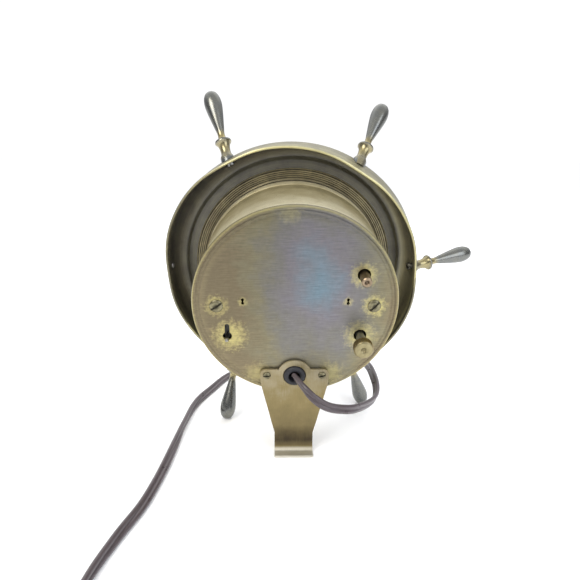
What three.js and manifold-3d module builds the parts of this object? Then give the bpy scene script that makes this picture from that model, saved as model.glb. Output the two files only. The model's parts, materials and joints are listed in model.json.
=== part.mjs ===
// A mains-electric ship's deck clock: a spun brass wheel rim with turned handles round a drum-shaped case,
// standing on its two lower handles and a rear leg. Millimetres, +Z up, dial towards -Y.
import * as THREE from "three";
import { mergeVertices } from "three/addons/utils/BufferGeometryUtils.js";
import Module from "manifold-3d";

const wasm = await Module();
wasm.setup();

// ---------- driving dimensions ----------
// The clock's own frame: Y runs along the dial's axis, with Y = 0 on the rear face of the back plate,
// +Y behind the clock and -Y towards the dial. Depths below count forwards from the back plate.
const LEAN = THREE.MathUtils.degToRad(10); // the whole clock leans back by this much
const GAP = 0.3; // between neighbouring pieces

const PLATE_R = 55; // back plate
const PLATE_T = 1.2;
const PLATE_RIM_T = 0.5; // the rolled edge stands this much proud
const PLATE_SKIRT = 2.5; // and hooks this far over the drum

const DRUM_R = 53.3;
const DRUM_T = 0.8;
const DRUM_DEPTH = 58; // from the back plate to the flange
const FLANGE_R = 60;
const FLANGE_T = 1.2;

const RIM_R = 76; // outside of the wheel shell
const RIM_SIDES = 40;
const SHEET_T = 1; // thickness of the spun sheet
const LIP_DEPTH = 41.5; // open rear edge of the shell
const CORNER_DEPTH = 54; // where the wall starts to turn in
const FACE_DEPTH = 61.5; // inside of the shell's front face at its deepest
const SEAT_DEPTH = 59.5; // inside of the annulus that carries the flange and the dial
const FACE_R = 67.5;
const STEP_R = 65;
const DIAL_HOLE_R = 50;
const OUT_OF_ROUND = 2.2; // the old rim is slightly oval at its rear edge
const OUT_OF_ROUND_AT = THREE.MathUtils.degToRad(45);
const OFF_CENTRE = 0.8; // and slightly off centre
const OFF_CENTRE_AT = THREE.MathUtils.degToRad(-45);
const STATION_DIP = 1.3; // and drawn in at each handle
const STATION_DIP_WIDTH = THREE.MathUtils.degToRad(12);

const BEZEL_R = 63;
const BEZEL_OPEN_R = 49;
const BEZEL_FRONT = 71.5;
const CRYSTAL_R = 51.7;
const CRYSTAL_T = 1.6;
const CRYSTAL_SEAT = 68.5;
const DIAL_R = 51.4;
const DIAL_T = 0.8;
const DIAL_DEPTH = 60.8;

const HANDLE_LENGTH = 43.6;
const HANDLE_DEPTH = 55; // the handles' axes lie this far in front of the back plate
const HANDLE_SCREW_R = 1.5;
const HANDLE_SCREW_HEAD_R = 2.5;

const STEM_X = -35.5; // the two stems stand one above the other on the left as seen from the front
const STEM_Z = 18;
const STEM_DISTANCE = Math.hypot(STEM_X, STEM_Z);
const SLOT_X = 36.8; // keyhole of the alarm pin
const SLOT_Z = -18.4;
const SLOT_LENGTH = 7;
const POST_X = 42; // back plate screws
const CORD_Z = -43; // cord hole
const LEG_SCREW_X = 15.5;
const LEG_SCREW_Z = -42.7;
const LEG_T = 1.3;
const LEG_GAP = 0.8; // the leg passes over the rolled edge of the back plate

const MOVEMENT_R = 46;
const REAR_FRAME_DEPTH = 14;
const FRONT_FRAME_DEPTH = 44;
const FRAME_T = 1.2;
const PILLAR_R = 2.5;
const PILLAR_RING = 42.5;

const CORD_R = 2.7; // half the width of the flat two-conductor cord

// ---------- helpers ----------
const rad = THREE.MathUtils.degToRad;

function solidOf(geometry) {
  const plain = geometry.clone();
  plain.deleteAttribute("normal");
  plain.deleteAttribute("uv");
  const merged = mergeVertices(plain, 1e-4);
  const mesh = new wasm.Mesh({
    numProp: 3,
    vertProperties: new Float32Array(merged.attributes.position.array),
    triVerts: new Uint32Array(merged.index.array),
  });
  return new wasm.Manifold(mesh);
}

function geometryOf(solid) {
  const mesh = solid.getMesh();
  const geometry = new THREE.BufferGeometry();
  geometry.setAttribute("position", new THREE.BufferAttribute(mesh.vertProperties, 3));
  geometry.setIndex(new THREE.BufferAttribute(mesh.triVerts, 1));
  return geometry;
}

const cut = (geometry, ...tools) =>
  geometryOf(tools.reduce((solid, tool) => solid.subtract(solidOf(tool)), solidOf(geometry)));
const join = (geometry, ...others) =>
  geometryOf(others.reduce((solid, other) => solid.add(solidOf(other)), solidOf(geometry)));

// A piece turned about the Y axis. The profile is a list of [radius, y] that starts and ends on the axis,
// or closes on itself.
function turned(profile, segments) {
  const closed = profile[0][0] > 0;
  const points = profile.map(([r, y]) => new THREE.Vector2(r, y));
  if (closed) points.push(points[0].clone());
  const geometry = new THREE.LatheGeometry(points, segments);
  const area = profile.reduce((sum, [r, y], i) => {
    const [r2, y2] = profile[(i + 1) % profile.length];
    return sum + r * y2 - r2 * y;
  }, 0);
  if (area < 0) flip(geometry);
  return geometry;
}

function flip(geometry) {
  const index = geometry.index.array;
  for (let i = 0; i < index.length; i += 3) [index[i + 1], index[i + 2]] = [index[i + 2], index[i + 1]];
}

// A flat plate whose outline is drawn in X and Z, from the depth `from` forwards by `thickness`.
function slab(shape, from, thickness, curveSegments = 8) {
  const extrusion = { depth: thickness, bevelEnabled: false, curveSegments };
  const geometry = new THREE.ExtrudeGeometry(shape, extrusion);
  geometry.rotateX(Math.PI / 2);
  geometry.translate(0, -from, 0);
  return geometry;
}

function disc(radius, x = 0, z = 0) {
  return new THREE.Shape().absarc(x, z, radius, 0, 2 * Math.PI);
}

function polygon(points) {
  return new THREE.Shape(points.map(([x, z]) => new THREE.Vector2(x, z)));
}

// A round bar or hole along Y, between two depths.
function rod(radius, from, to, x = 0, z = 0, segments = 6) {
  return slab(disc(radius, x, z), from, to - from, segments);
}

function tube(outer, inner, from, to, segments = 16) {
  return turned([[inner, -from], [inner, -to], [outer, -to], [outer, -from]], segments);
}

function block(width, depth, height, x, y, z) {
  return new THREE.BoxGeometry(width, depth, height).translate(x, y, z);
}

// ---------- materials ----------
const finish = (color, roughness, metalness = 1) => ({ color, roughness, metalness });
const AGED_BRASS = finish(0x8f8558, 0.35);
const DARK_BRASS = finish(0x3c3a36, 0.45);
const PATINA = finish(0x8d8a80, 0.4);
const GOLDEN_BRASS = finish(0x9a854c, 0.4);
const GREY_METAL = finish(0x7f8285, 0.3);
const STEEL = finish(0x9a9a98, 0.35);
const COPPER = finish(0xb08070, 0.4);
const BRIGHT_BRASS = finish(0xc9ac5c, 0.3);
const RUBBER = finish(0x1c1b1e, 0.7, 0);
const CORD_BROWN = finish(0x4a3c40, 0.4, 0);
const GLASS = finish(0xdfe8ea, 0.05, 0);
const DIAL_CREAM = finish(0xe9e2cc, 0.6, 0);
const HAND_BLACK = finish(0x1d1c1a, 0.4, 0);
const RED = finish(0xa22a1e, 0.5, 0);
const COIL_WRAP = finish(0x8a5a2a, 0.6, 0);

const clock = new THREE.Group(); // everything that stands, in the clock's own frame
const part = new THREE.Group(); // the clock on its surface, with its cord

function piece(name, geometry, material, parent = clock) {
  const mesh = new THREE.Mesh(geometry, new THREE.MeshStandardMaterial(material));
  mesh.name = name;
  parent.add(mesh);
  return mesh;
}

// ---------- wheel shell ----------
const STATIONS = [0, 60, 120, 180, 240, 300].map(rad);

// How far the rim is pushed out at an angle, from 0 at the front face to its full amount at the rear lip.
function rimShift(angle, depth) {
  const along = THREE.MathUtils.clamp((FACE_DEPTH - depth) / (FACE_DEPTH - LIP_DEPTH), 0, 1);
  const dips = STATIONS.map((station) => {
    const away = Math.abs(THREE.MathUtils.euclideanModulo(angle - station + Math.PI, 2 * Math.PI) - Math.PI);
    return STATION_DIP * Math.exp(-((away / STATION_DIP_WIDTH) ** 2));
  });
  const oval = OUT_OF_ROUND * Math.cos(2 * (angle - OUT_OF_ROUND_AT));
  const offset = OFF_CENTRE * Math.cos(angle - OFF_CENTRE_AT);
  return along * (oval + offset - Math.max(...dips));
}

function knockOutOfRound(geometry) {
  const position = geometry.attributes.position;
  for (let i = 0; i < position.count; i++) {
    const x = position.getX(i);
    const z = position.getZ(i);
    const radius = Math.hypot(x, z);
    if (radius < FACE_R) continue;
    const grown = radius + rimShift(Math.atan2(z, x), -position.getY(i));
    position.setX(i, (x * grown) / radius);
    position.setZ(i, (z * grown) / radius);
  }
}

// The quarter turn from the wall into the front face, offset outwards by `out`.
function cornerArc(out, steps = 3) {
  const points = [];
  for (let i = 0; i <= steps; i++) {
    const turn = (i / steps) * (Math.PI / 2);
    const r = FACE_R + (RIM_R - SHEET_T - FACE_R + out) * Math.cos(turn);
    const depth = CORNER_DEPTH + (FACE_DEPTH - CORNER_DEPTH + out) * Math.sin(turn);
    points.push([r, -depth]);
  }
  return points;
}

function wheelShell() {
  const inside = [
    [RIM_R - SHEET_T, -LIP_DEPTH],
    ...cornerArc(0),
    [STEP_R + 1, -FACE_DEPTH],
    [STEP_R, -SEAT_DEPTH],
    [DIAL_HOLE_R, -SEAT_DEPTH],
  ];
  const outside = [
    [DIAL_HOLE_R, -SEAT_DEPTH - SHEET_T],
    [STEP_R - 0.6, -SEAT_DEPTH - SHEET_T],
    [STEP_R + 0.4, -FACE_DEPTH - SHEET_T],
    ...cornerArc(SHEET_T).reverse(),
    [RIM_R, -LIP_DEPTH],
  ];
  const body = turned([...inside, ...outside], RIM_SIDES);
  knockOutOfRound(body);
  const holes = STATIONS.map((angle) => radialRod(HANDLE_SCREW_R + GAP, angle, RIM_R - 8, RIM_R + 8));
  return cut(body, ...holes);
}

// A round bar along a station's radius, in the plane of the handles' axes.
function radialRod(radius, angle, from, to, segments = 10) {
  const bar = new THREE.CylinderGeometry(radius, radius, to - from, segments);
  bar.translate(0, (from + to) / 2, 0);
  bar.rotateZ(-Math.PI / 2);
  bar.rotateY(-angle);
  bar.translate(0, -HANDLE_DEPTH, 0);
  return bar;
}

// The outside of the rim as one plain solid, grown by `out`, that the handles' feet are shaped to.
function rimBody(out) {
  const body = turned(
    [
      [0, -FACE_DEPTH],
      ...cornerArc(SHEET_T + out).reverse(),
      [RIM_R + out, -LIP_DEPTH + 2],
      [0, -LIP_DEPTH + 2],
    ],
    RIM_SIDES,
  );
  knockOutOfRound(body);
  return body;
}

// ---------- handles ----------
// Each handle's name is the hour it stands at, seen from the front. `swing` turns it in the wheel's
// plane and `cant` leans it forwards: old handles on loose screws that no longer stand square. The one
// at 3 is lost.
const HANDLES = [
  { hour: 1, station: 60, swing: 11.3, cant: 36.7 },
  { hour: 11, station: 120, swing: 1.7, cant: 43.1 },
  { hour: 9, station: 180, swing: -4.2, cant: 22.1 },
  { hour: 7, station: 240, swing: 12.8, cant: 4.5 },
  { hour: 5, station: 300, swing: -20, cant: -26 },
];

// Height above the seat and radius of the turned handle: foot, waist, collar, neck and club-shaped grip.
const HANDLE_PROFILE = [
  [0, -4],
  [3.9, -4],
  [3.9, 1],
  [3.0, 2.6],
  [2.9, 6],
  [3.6, 9],
  [4.7, 10.2],
  [4.7, 11],
  [2.6, 12.6],
  [2.0, 14.6],
  [2.6, 19],
  [4.2, 28],
  [5.1, 34],
  [4.9, 38],
  [3.4, 41.6],
  [0, HANDLE_LENGTH],
];

function handle({ station, swing, cant }, rim) {
  const seat = rad(station);
  const aim = rad(station + swing);
  const lean = rad(cant);
  const radius = RIM_R + rimShift(seat, HANDLE_DEPTH);
  const foot = new THREE.Vector3(radius * Math.cos(seat), -HANDLE_DEPTH, radius * Math.sin(seat));
  const flat = Math.cos(lean);
  const axis = new THREE.Vector3(flat * Math.cos(aim), -Math.sin(lean), flat * Math.sin(aim));
  const body = turned(HANDLE_PROFILE, 8);
  body.applyQuaternion(new THREE.Quaternion().setFromUnitVectors(new THREE.Vector3(0, 1, 0), axis));
  body.translate(foot.x, foot.y, foot.z);
  const bore = radialRod(HANDLE_SCREW_R + GAP, seat, radius - 6, radius + 5);
  return cut(body, rim, bore);
}

function handleScrew({ station }) {
  const angle = rad(station);
  const wall = RIM_R - SHEET_T + rimShift(angle, HANDLE_DEPTH) - 1.4;
  const head = radialRod(HANDLE_SCREW_HEAD_R, angle, wall - 1.8, wall);
  const shank = radialRod(HANDLE_SCREW_R, angle, wall - 0.5, wall + 5);
  const slot = block(1.2, 0.9, 8, wall - 1.8, 0, 0).rotateY(-angle).translate(0, -HANDLE_DEPTH, 0);
  return cut(join(head, shank), slot);
}

// ---------- case ----------
function caseDrum() {
  const inner = DRUM_R - DRUM_T;
  return turned(
    [
      [inner, -PLATE_T - GAP],
      [DRUM_R, -PLATE_T - GAP],
      [DRUM_R, -DRUM_DEPTH + 2],
      [DRUM_R + 1.2, -DRUM_DEPTH + 0.6],
      [FLANGE_R - 2, -DRUM_DEPTH],
      [FLANGE_R, -DRUM_DEPTH - 0.3],
      [FLANGE_R, -DRUM_DEPTH - FLANGE_T],
      [inner, -DRUM_DEPTH - FLANGE_T],
    ],
    36,
  );
}

function backPlate() {
  const skirtInner = DRUM_R + GAP;
  const plate = turned(
    [
      [0, 0],
      [PLATE_R - 2.4, 0],
      [PLATE_R - 1.6, PLATE_RIM_T],
      [PLATE_R - 0.5, PLATE_RIM_T],
      [PLATE_R, 0],
      [PLATE_R, -PLATE_SKIRT],
      [skirtInner, -PLATE_SKIRT],
      [skirtInner, -PLATE_T],
      [0, -PLATE_T],
    ],
    40,
  );
  const through = [-2, PLATE_T + 1];
  const holes = [
    rod(3.5, ...through, STEM_X, STEM_Z),
    rod(3.5, ...through, STEM_X, -STEM_Z),
    rod(2.5, ...through, SLOT_X, SLOT_Z),
    block(2.6, 6, SLOT_LENGTH, SLOT_X, 0, SLOT_Z + SLOT_LENGTH / 2),
    rod(1.9, ...through, POST_X, 0),
    rod(1.9, ...through, -POST_X, 0),
    rod(4.9, ...through, 0, CORD_Z),
    rod(1.3, ...through, LEG_SCREW_X, LEG_SCREW_Z, 8),
    rod(1.3, ...through, -LEG_SCREW_X, LEG_SCREW_Z, 8),
    block(1.2, 6, 3.4, 28, 0, 2.5),
    block(1.2, 6, 3.4, -28, 0, 2.5),
  ];
  return cut(plate, ...holes);
}

function casePost(x) {
  const post = tube(3, 1.8, PLATE_T + GAP, REAR_FRAME_DEPTH - GAP, 12);
  return post.translate(x, 0, 0);
}

// A slotted screw with a low round head on the plane y = seat, its shank running forwards.
function plateScrew(x, z, headR, shankR, length, seat, slotAngle) {
  const head = turned(
    [
      [0, 1.1],
      [headR * 0.55, 0.95],
      [headR * 0.9, 0.55],
      [headR, 0],
      [shankR, 0],
      [shankR, -length],
      [0, -length],
    ],
    10,
  );
  const slot = block(headR * 2.4, 1, headR * 0.3, 0, 1.1, 0).rotateY(slotAngle);
  return cut(head, slot).translate(x, seat, z);
}

// ---------- rear leg ----------
// Side view of the leg's middle line below the case, as [y, z]: straight down, slightly drawn in, then
// the toe turned out flat on the surface.
const LEG_TOE_END = 10;
const LEG_TOE_START = 4.5;
const FLOOR_DROP = 97.46; // the surface lies this far below the dial's axis at the back plate

function floorLine(y) {
  return [y - (LEG_T / 2) * Math.sin(LEAN), y * Math.tan(LEAN) - FLOOR_DROP + (LEG_T / 2) * Math.cos(LEAN)];
}

const LEG_MIDDLE = LEG_GAP + LEG_T / 2;
const LEG_LINE = [
  [LEG_MIDDLE, -66],
  [LEG_MIDDLE, -74],
  [LEG_MIDDLE - 0.5, -80],
  [LEG_MIDDLE - 1, -86],
  [LEG_MIDDLE - 0.6, -91],
  [LEG_MIDDLE + 0.7, -94.4],
  floorLine(LEG_TOE_START),
  floorLine((LEG_TOE_START + LEG_TOE_END) / 2),
  floorLine(LEG_TOE_END),
];

// Half the leg's width at a height.
function legHalfWidth(z) {
  const TOE = 11.4;
  return z > -84 ? TOE + 0.205 * (z + 84) + 0.0003 * (z + 84) ** 2 : TOE;
}

function bracketLeg() {
  const shape = new THREE.Shape();
  const earX = 19.3;
  const earZ = -39;
  const arch = 9.8;
  const archEnd = Math.acos((earZ - CORD_Z) / arch);
  shape.moveTo(legHalfWidth(-66.5), -66.5);
  shape.lineTo(earX - 0.6, -50);
  shape.lineTo(earX, -44.5);
  shape.lineTo(earX, -41.7);
  shape.lineTo(earX - 0.9, -39.9);
  shape.lineTo(earX - 2.6, earZ);
  shape.absarc(0, CORD_Z, arch, Math.PI / 2 - archEnd, Math.PI / 2 + archEnd);
  shape.lineTo(-earX + 2.6, earZ);
  shape.lineTo(-earX + 0.9, -39.9);
  shape.lineTo(-earX, -41.7);
  shape.lineTo(-earX, -44.5);
  shape.lineTo(-earX + 0.6, -50);
  shape.lineTo(-legHalfWidth(-66.5), -66.5);
  const screwHoles = [LEG_SCREW_X, -LEG_SCREW_X].map((x) => disc(1.4, x, LEG_SCREW_Z));
  shape.holes.push(disc(6.4, 0, CORD_Z), ...screwHoles);
  const upper = slab(shape, -LEG_GAP - LEG_T, LEG_T, 8);
  return join(upper, bentStrip(LEG_LINE, legHalfWidth, LEG_T));
}

// A strip of sheet that follows a line in the Y-Z plane, with its own half-width at each height.
function bentStrip(line, halfWidth, thickness) {
  const positions = [];
  line.forEach(([y, z], i) => {
    const [y0, z0] = line[Math.max(0, i - 1)];
    const [y1, z1] = line[Math.min(line.length - 1, i + 1)];
    const length = Math.hypot(y1 - y0, z1 - z0);
    const ny = (-(z1 - z0) / length) * (thickness / 2);
    const nz = ((y1 - y0) / length) * (thickness / 2);
    const half = halfWidth(z);
    positions.push(half, y + ny, z + nz, -half, y + ny, z + nz, -half, y - ny, z - nz, half, y - ny, z - nz);
  });
  const index = [0, 1, 2, 0, 2, 3];
  for (let i = 0; i + 1 < line.length; i++) {
    for (let side = 0; side < 4; side++) {
      const a = 4 * i + side;
      const b = 4 * i + ((side + 1) % 4);
      index.push(a, a + 4, b, b, a + 4, b + 4);
    }
  }
  const last = 4 * (line.length - 1);
  index.push(last, last + 2, last + 1, last, last + 3, last + 2);
  const strip = new THREE.BufferGeometry();
  strip.setAttribute("position", new THREE.Float32BufferAttribute(positions, 3));
  strip.setIndex(index);
  return strip;
}

function cordGrommet() {
  const bore = CORD_R + 0.4;
  return turned(
    [
      [bore, 3.2],
      [bore + 0.8, 3.8],
      [5.4, 3.6],
      [6.1, 2.6],
      [6.1, GAP],
      [4.6, GAP],
      [4.6, -PLATE_T - GAP],
      [5.8, -PLATE_T - GAP],
      [5.8, -PLATE_T - 1.8],
      [bore, -PLATE_T - 1.8],
    ],
    14,
  ).translate(0, 0, CORD_Z);
}

// ---------- dial side ----------
function bezelRing() {
  return turned(
    [
      [52, -DIAL_DEPTH],
      [BEZEL_R, -DIAL_DEPTH],
      [BEZEL_R, -DIAL_DEPTH - 2.2],
      [61.4, -DIAL_DEPTH - 3],
      [60.4, -66.6],
      [57, -69.8],
      [53, -BEZEL_FRONT],
      [50.4, -BEZEL_FRONT],
      [BEZEL_OPEN_R, -BEZEL_FRONT + 1],
      [BEZEL_OPEN_R, -CRYSTAL_SEAT - CRYSTAL_T - GAP],
      [52, -CRYSTAL_SEAT - CRYSTAL_T - GAP],
    ],
    40,
  );
}

function crystal() {
  const dome = 3.6;
  const arc = (radius, depth, steps = 3) => {
    const points = [];
    for (let i = steps; i >= 0; i--) {
      const share = i / steps;
      points.push([radius * share, -(depth + dome * (1 - share ** 2))]);
    }
    return points;
  };
  const outer = arc(BEZEL_OPEN_R - 1, CRYSTAL_SEAT + CRYSTAL_T);
  const inner = arc(BEZEL_OPEN_R - 1, CRYSTAL_SEAT).reverse();
  const rim = [[CRYSTAL_R, -CRYSTAL_SEAT], [CRYSTAL_R, -CRYSTAL_SEAT - CRYSTAL_T]];
  return turned([...inner, ...rim, ...outer], 32);
}

function dialRing() {
  const back = DIAL_DEPTH + DIAL_T + GAP;
  return turned(
    [[CRYSTAL_R, -back], [CRYSTAL_R, -CRYSTAL_SEAT + GAP], [49.4, -CRYSTAL_SEAT + GAP], [48.4, -back]],
    32,
  );
}

// A hand lying on the dial, pointing to 12, as an outline of [half-width, height] pairs, with a round hub.
function hand(outline, hubR, boreR, depth, thickness) {
  const right = outline.map(([w, z]) => [w, z]);
  const left = outline.map(([w, z]) => [-w, z]).reverse();
  const blade = slab(polygon([...right, ...left]), depth, thickness);
  const hub = rod(hubR, depth, depth + thickness, 0, 0, 8);
  return cut(join(blade, hub), rod(boreR, depth - 1, depth + thickness + 1));
}

// ---------- movement ----------
// A spur wheel about the Y axis with straight-flanked teeth, one of them centred on `phase`.
function gear({ teeth, module, phase, from, to, bore = 0 }) {
  const pitchR = (teeth * module) / 2;
  const rootR = pitchR - 1.15 * module;
  const tipR = pitchR + 0.8 * module;
  const pitch = (2 * Math.PI) / teeth;
  const points = [];
  for (let i = 0; i < teeth; i++) {
    const centre = phase + i * pitch;
    [
      [rootR, -0.29],
      [tipR, -0.1],
      [tipR, 0.1],
      [rootR, 0.29],
    ].forEach(([r, share]) => {
      const angle = centre + share * pitch;
      points.push([r * Math.cos(angle), r * Math.sin(angle)]);
    });
  }
  const shape = polygon(points);
  if (bore) shape.holes.push(disc(bore));
  return slab(shape, from, to - from, 6);
}

const tooth = (angle) => angle;
const space = (angle, teeth) => angle + Math.PI + Math.PI / teeth;

const STEM_GEAR_T = 1.4;
const STEM_GEARS = { wheel: 30, pinion: 10, module: STEM_DISTANCE / 20 };
const SECONDS_GEARS = { wheel: 40, pinion: 10, module: 0.864 };
const ROTOR_DISTANCE = ((SECONDS_GEARS.wheel + SECONDS_GEARS.pinion) / 2) * SECONDS_GEARS.module;
const ROTOR_AT = rad(-45);
const ROTOR_X = ROTOR_DISTANCE * Math.cos(ROTOR_AT);
const ROTOR_Z = ROTOR_DISTANCE * Math.sin(ROTOR_AT);
const CANNON = { wheel: 30, pinion: 10, module: 0.6 };
const HOUR = { wheel: 32, pinion: 8, module: 0.6 };
const MOTION_Z = 12;
const PILLARS_AT = [97, 25, -25, -123].map(rad);

function framePlate(depth, holes) {
  const shape = disc(MOVEMENT_R);
  shape.holes.push(...holes.map(([r, x, z]) => disc(r, x, z)));
  return slab(shape, depth, FRAME_T, 10);
}

function motorCore() {
  const shape = polygon([[-13, -40], [27, -40], [27, -4], [-13, -4]]);
  shape.holes.push(disc(8.6, ROTOR_X, ROTOR_Z));
  shape.holes.push(polygon([[-7, -34], [21, -34], [21, -27], [-7, -27]]));
  return slab(shape, 20, 8, 12);
}

function motorCoil() {
  const winding = polygon([
    [16, 13.6],
    [17.6, 12],
    [32, 12],
    [34, 13.6],
    [34, 25.4],
    [32, 27],
    [17.6, 27],
    [16, 25.4],
  ]);
  winding.holes.push(polygon([[19.6, 14.9], [28.4, 14.9], [28.4, 21.6], [19.6, 21.6]]));
  const wound = new THREE.ExtrudeGeometry(winding, { depth: 20, bevelEnabled: false });
  // The outline is drawn as depth and height, and the winding runs along X round the core's lower limb.
  const basis = new THREE.Matrix4().makeBasis(
    new THREE.Vector3(0, -1, 0),
    new THREE.Vector3(0, 0, 1),
    new THREE.Vector3(-1, 0, 0),
  );
  wound.applyMatrix4(basis);
  return wound.translate(17, 0, -55.3);
}

function rotor() {
  const bar = join(rod(8, 20.4, 27.6, 0, 0, 12), rod(0.8, REAR_FRAME_DEPTH - 0.4, 37.6, 0, 0, 4));
  const pinion = gear({
    teeth: SECONDS_GEARS.pinion,
    module: SECONDS_GEARS.module,
    phase: space(ROTOR_AT, SECONDS_GEARS.pinion),
    from: 33.6,
    to: 35.6,
  });
  return join(bar, pinion).translate(ROTOR_X, 0, ROTOR_Z);
}

function rotorBridge() {
  const shape = polygon([
    [12.5, -18.3],
    [21.5, -18.3],
    [21.5, -26],
    [27, -26],
    [27, -4.5],
    [21.5, -4.5],
    [21.5, -12.3],
    [12.5, -12.3],
  ]);
  shape.holes.push(disc(1.1, ROTOR_X, ROTOR_Z));
  const bar = slab(shape, 36, 1.2, 8);
  const legs = [-6.3, -24.5].map((z) => block(4, 8, 3, 24.3, -32.3, z));
  return join(bar, ...legs);
}

function secondsWheel() {
  return gear({
    teeth: SECONDS_GEARS.wheel,
    module: SECONDS_GEARS.module,
    phase: tooth(ROTOR_AT),
    from: 34,
    to: 35.2,
    bore: 0.9,
  });
}

function minuteArbor() {
  const pinion = gear({
    teeth: CANNON.pinion,
    module: CANNON.module,
    phase: tooth(Math.PI / 2),
    from: 46,
    to: 48.4,
    bore: 1.2,
  });
  return join(tube(1.6, 0.9, 38, 65.4, 12), pinion);
}

function motionWheel() {
  const wheel = gear({
    teeth: CANNON.wheel,
    module: CANNON.module,
    phase: space(Math.PI / 2, CANNON.wheel),
    from: 46.4,
    to: 47.6,
  });
  const pinion = gear({
    teeth: HOUR.pinion,
    module: HOUR.module,
    phase: space(Math.PI / 2, HOUR.pinion),
    from: 47.5,
    to: 50.6,
  });
  return join(wheel, pinion, rod(0.8, 43.6, 51, 0, 0, 4)).translate(0, 0, MOTION_Z);
}

function hourWheel() {
  const wheel = gear({
    teeth: HOUR.wheel,
    module: HOUR.module,
    phase: tooth(Math.PI / 2),
    from: 49,
    to: 50.2,
    bore: 2.2,
  });
  return join(tube(2.5, 1.9, 48.8, 64.2, 12), wheel);
}

function stemWheel(angle, from, bore) {
  return gear({
    teeth: STEM_GEARS.wheel,
    module: STEM_GEARS.module,
    phase: tooth(angle),
    from,
    to: from + STEM_GEAR_T,
    bore,
  });
}

function stemGear(angle, from, bore) {
  const spur = gear({
    teeth: STEM_GEARS.pinion,
    module: STEM_GEARS.module,
    phase: space(angle, STEM_GEARS.pinion),
    from,
    to: from + STEM_GEAR_T,
    bore,
  });
  return spur.translate(STEM_DISTANCE * Math.cos(angle), 0, STEM_DISTANCE * Math.sin(angle));
}

function alarmLever() {
  const shape = polygon([[-3, -4], [3, -4], [3, 6], [-3, 6]]);
  const strip = slab(shape, 3, 1, 8);
  const pin = turned([[0, 5.2], [0.8, 5], [1.1, 4.4], [1, 0], [1, -3.5], [0, -3.5]], 10);
  return join(strip, pin).translate(SLOT_X, 0, SLOT_Z);
}

function buzzerReed() {
  const reed = block(3, 0.5, 30, -18, -18, -22);
  const foot = block(5, 2.5, 6, -18, -REAR_FRAME_DEPTH - FRAME_T - GAP - 1.25, -34);
  return join(reed, foot);
}

// ---------- cord ----------
// The free stretch of the cord, from the grommet to the coil, with the part standing on its origin plane:
// down and round below the case, across the surface in front of the dial and back along the clock's side.
const CORD_LIES = CORD_R + 0.1; // height of its middle where it lies on the surface
const CORD_ROUTE = [
  [20, 30.1, 54],
  [15.2, 38.4, 51.3],
  [9.5, 42.2, 46.4],
  [1.7, 42.1, 41.3],
  [-9.9, 36.2, 36.7],
  [-19.7, 25, 32.8],
  [-29.3, 9.3, 29.9],
  [-33, -5.8, 30.3],
  [-33.3, -21.6, 31.8],
  [-32.6, -35.6, 31.4],
  [-31, -60, 24],
  [-22, -77, 16.5],
  [-9, -92, 8],
  [9, -104, 3.4],
  [31, -109, CORD_LIES],
  [51, -102.5, CORD_LIES],
  [67.5, -87, CORD_LIES],
  [79.5, -60, CORD_LIES],
  [87.6, -35, CORD_LIES],
  [90.6, -9, CORD_LIES],
  [92, 16, CORD_LIES],
  [94.5, 46, CORD_LIES],
  [97.5, 69, CORD_LIES],
  [104, 95, CORD_LIES],
  [109, 120, CORD_LIES],
  [110, 140, CORD_LIES],
  [110, 154.2, CORD_LIES],
];
// The rest of its length is a neat coil of flat cord on edge: three turns wide and two high.
const COIL_X = 77;
const COIL_Y = 172;
const COIL_OUTER = 34.7;
const COIL_INNER = 25.3;
const COIL_HEIGHT = 11.4;
// Its end leaves the coil's top turn and comes down to the plug, which lies on the surface beside it.
const TAIL_ROUTE = [
  [60.6, 205, 8.4],
  [56, 205, 8.2],
  [50, 205, 7.6],
  [44, 205, 7.2],
  [39.3, 205, 7.2],
];
const PLUG_WIDTH = 25;
const PLUG_HEIGHT = 14;
const PLUG_LENGTH = 24;
const PLUG_COLLAR = 6;
const BLADE_SPACING = 12.7;
const BLADE_WIDTH = 6.3;
const BLADE_T = 1.5;
const BLADE_LENGTH = 16;
const BLADE_POCKET = 3;

function cordTube(route, steps) {
  const path = new THREE.CatmullRomCurve3(route.map(([x, y, z]) => new THREE.Vector3(x, y, z)));
  const section = disc(CORD_R);
  const sweep = { steps, curveSegments: 4, bevelEnabled: false, extrudePath: path };
  return new THREE.ExtrudeGeometry(section, sweep);
}

function cordCoil() {
  const CHAMFER = 2;
  const ring = turned(
    [
      [COIL_INNER, 0.1],
      [COIL_OUTER - CHAMFER, 0.1],
      [COIL_OUTER, CHAMFER],
      [COIL_OUTER, COIL_HEIGHT - CHAMFER],
      [COIL_OUTER - CHAMFER, COIL_HEIGHT],
      [COIL_INNER, COIL_HEIGHT],
    ],
    32,
  );
  return ring.rotateX(Math.PI / 2).translate(COIL_X, COIL_Y, 0);
}

// The plug lies flat with its cord end at x = 0 and its blades towards -X.
function plugBlade(side, grow = 0) {
  const inside = PLUG_COLLAR + PLUG_LENGTH - BLADE_POCKET - grow;
  const length = BLADE_POCKET + BLADE_LENGTH + grow;
  return block(
    length,
    BLADE_T + 2 * grow,
    BLADE_WIDTH + 2 * grow,
    -inside - length / 2,
    (side * BLADE_SPACING) / 2,
    PLUG_HEIGHT / 2 + 0.2,
  );
}

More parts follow.
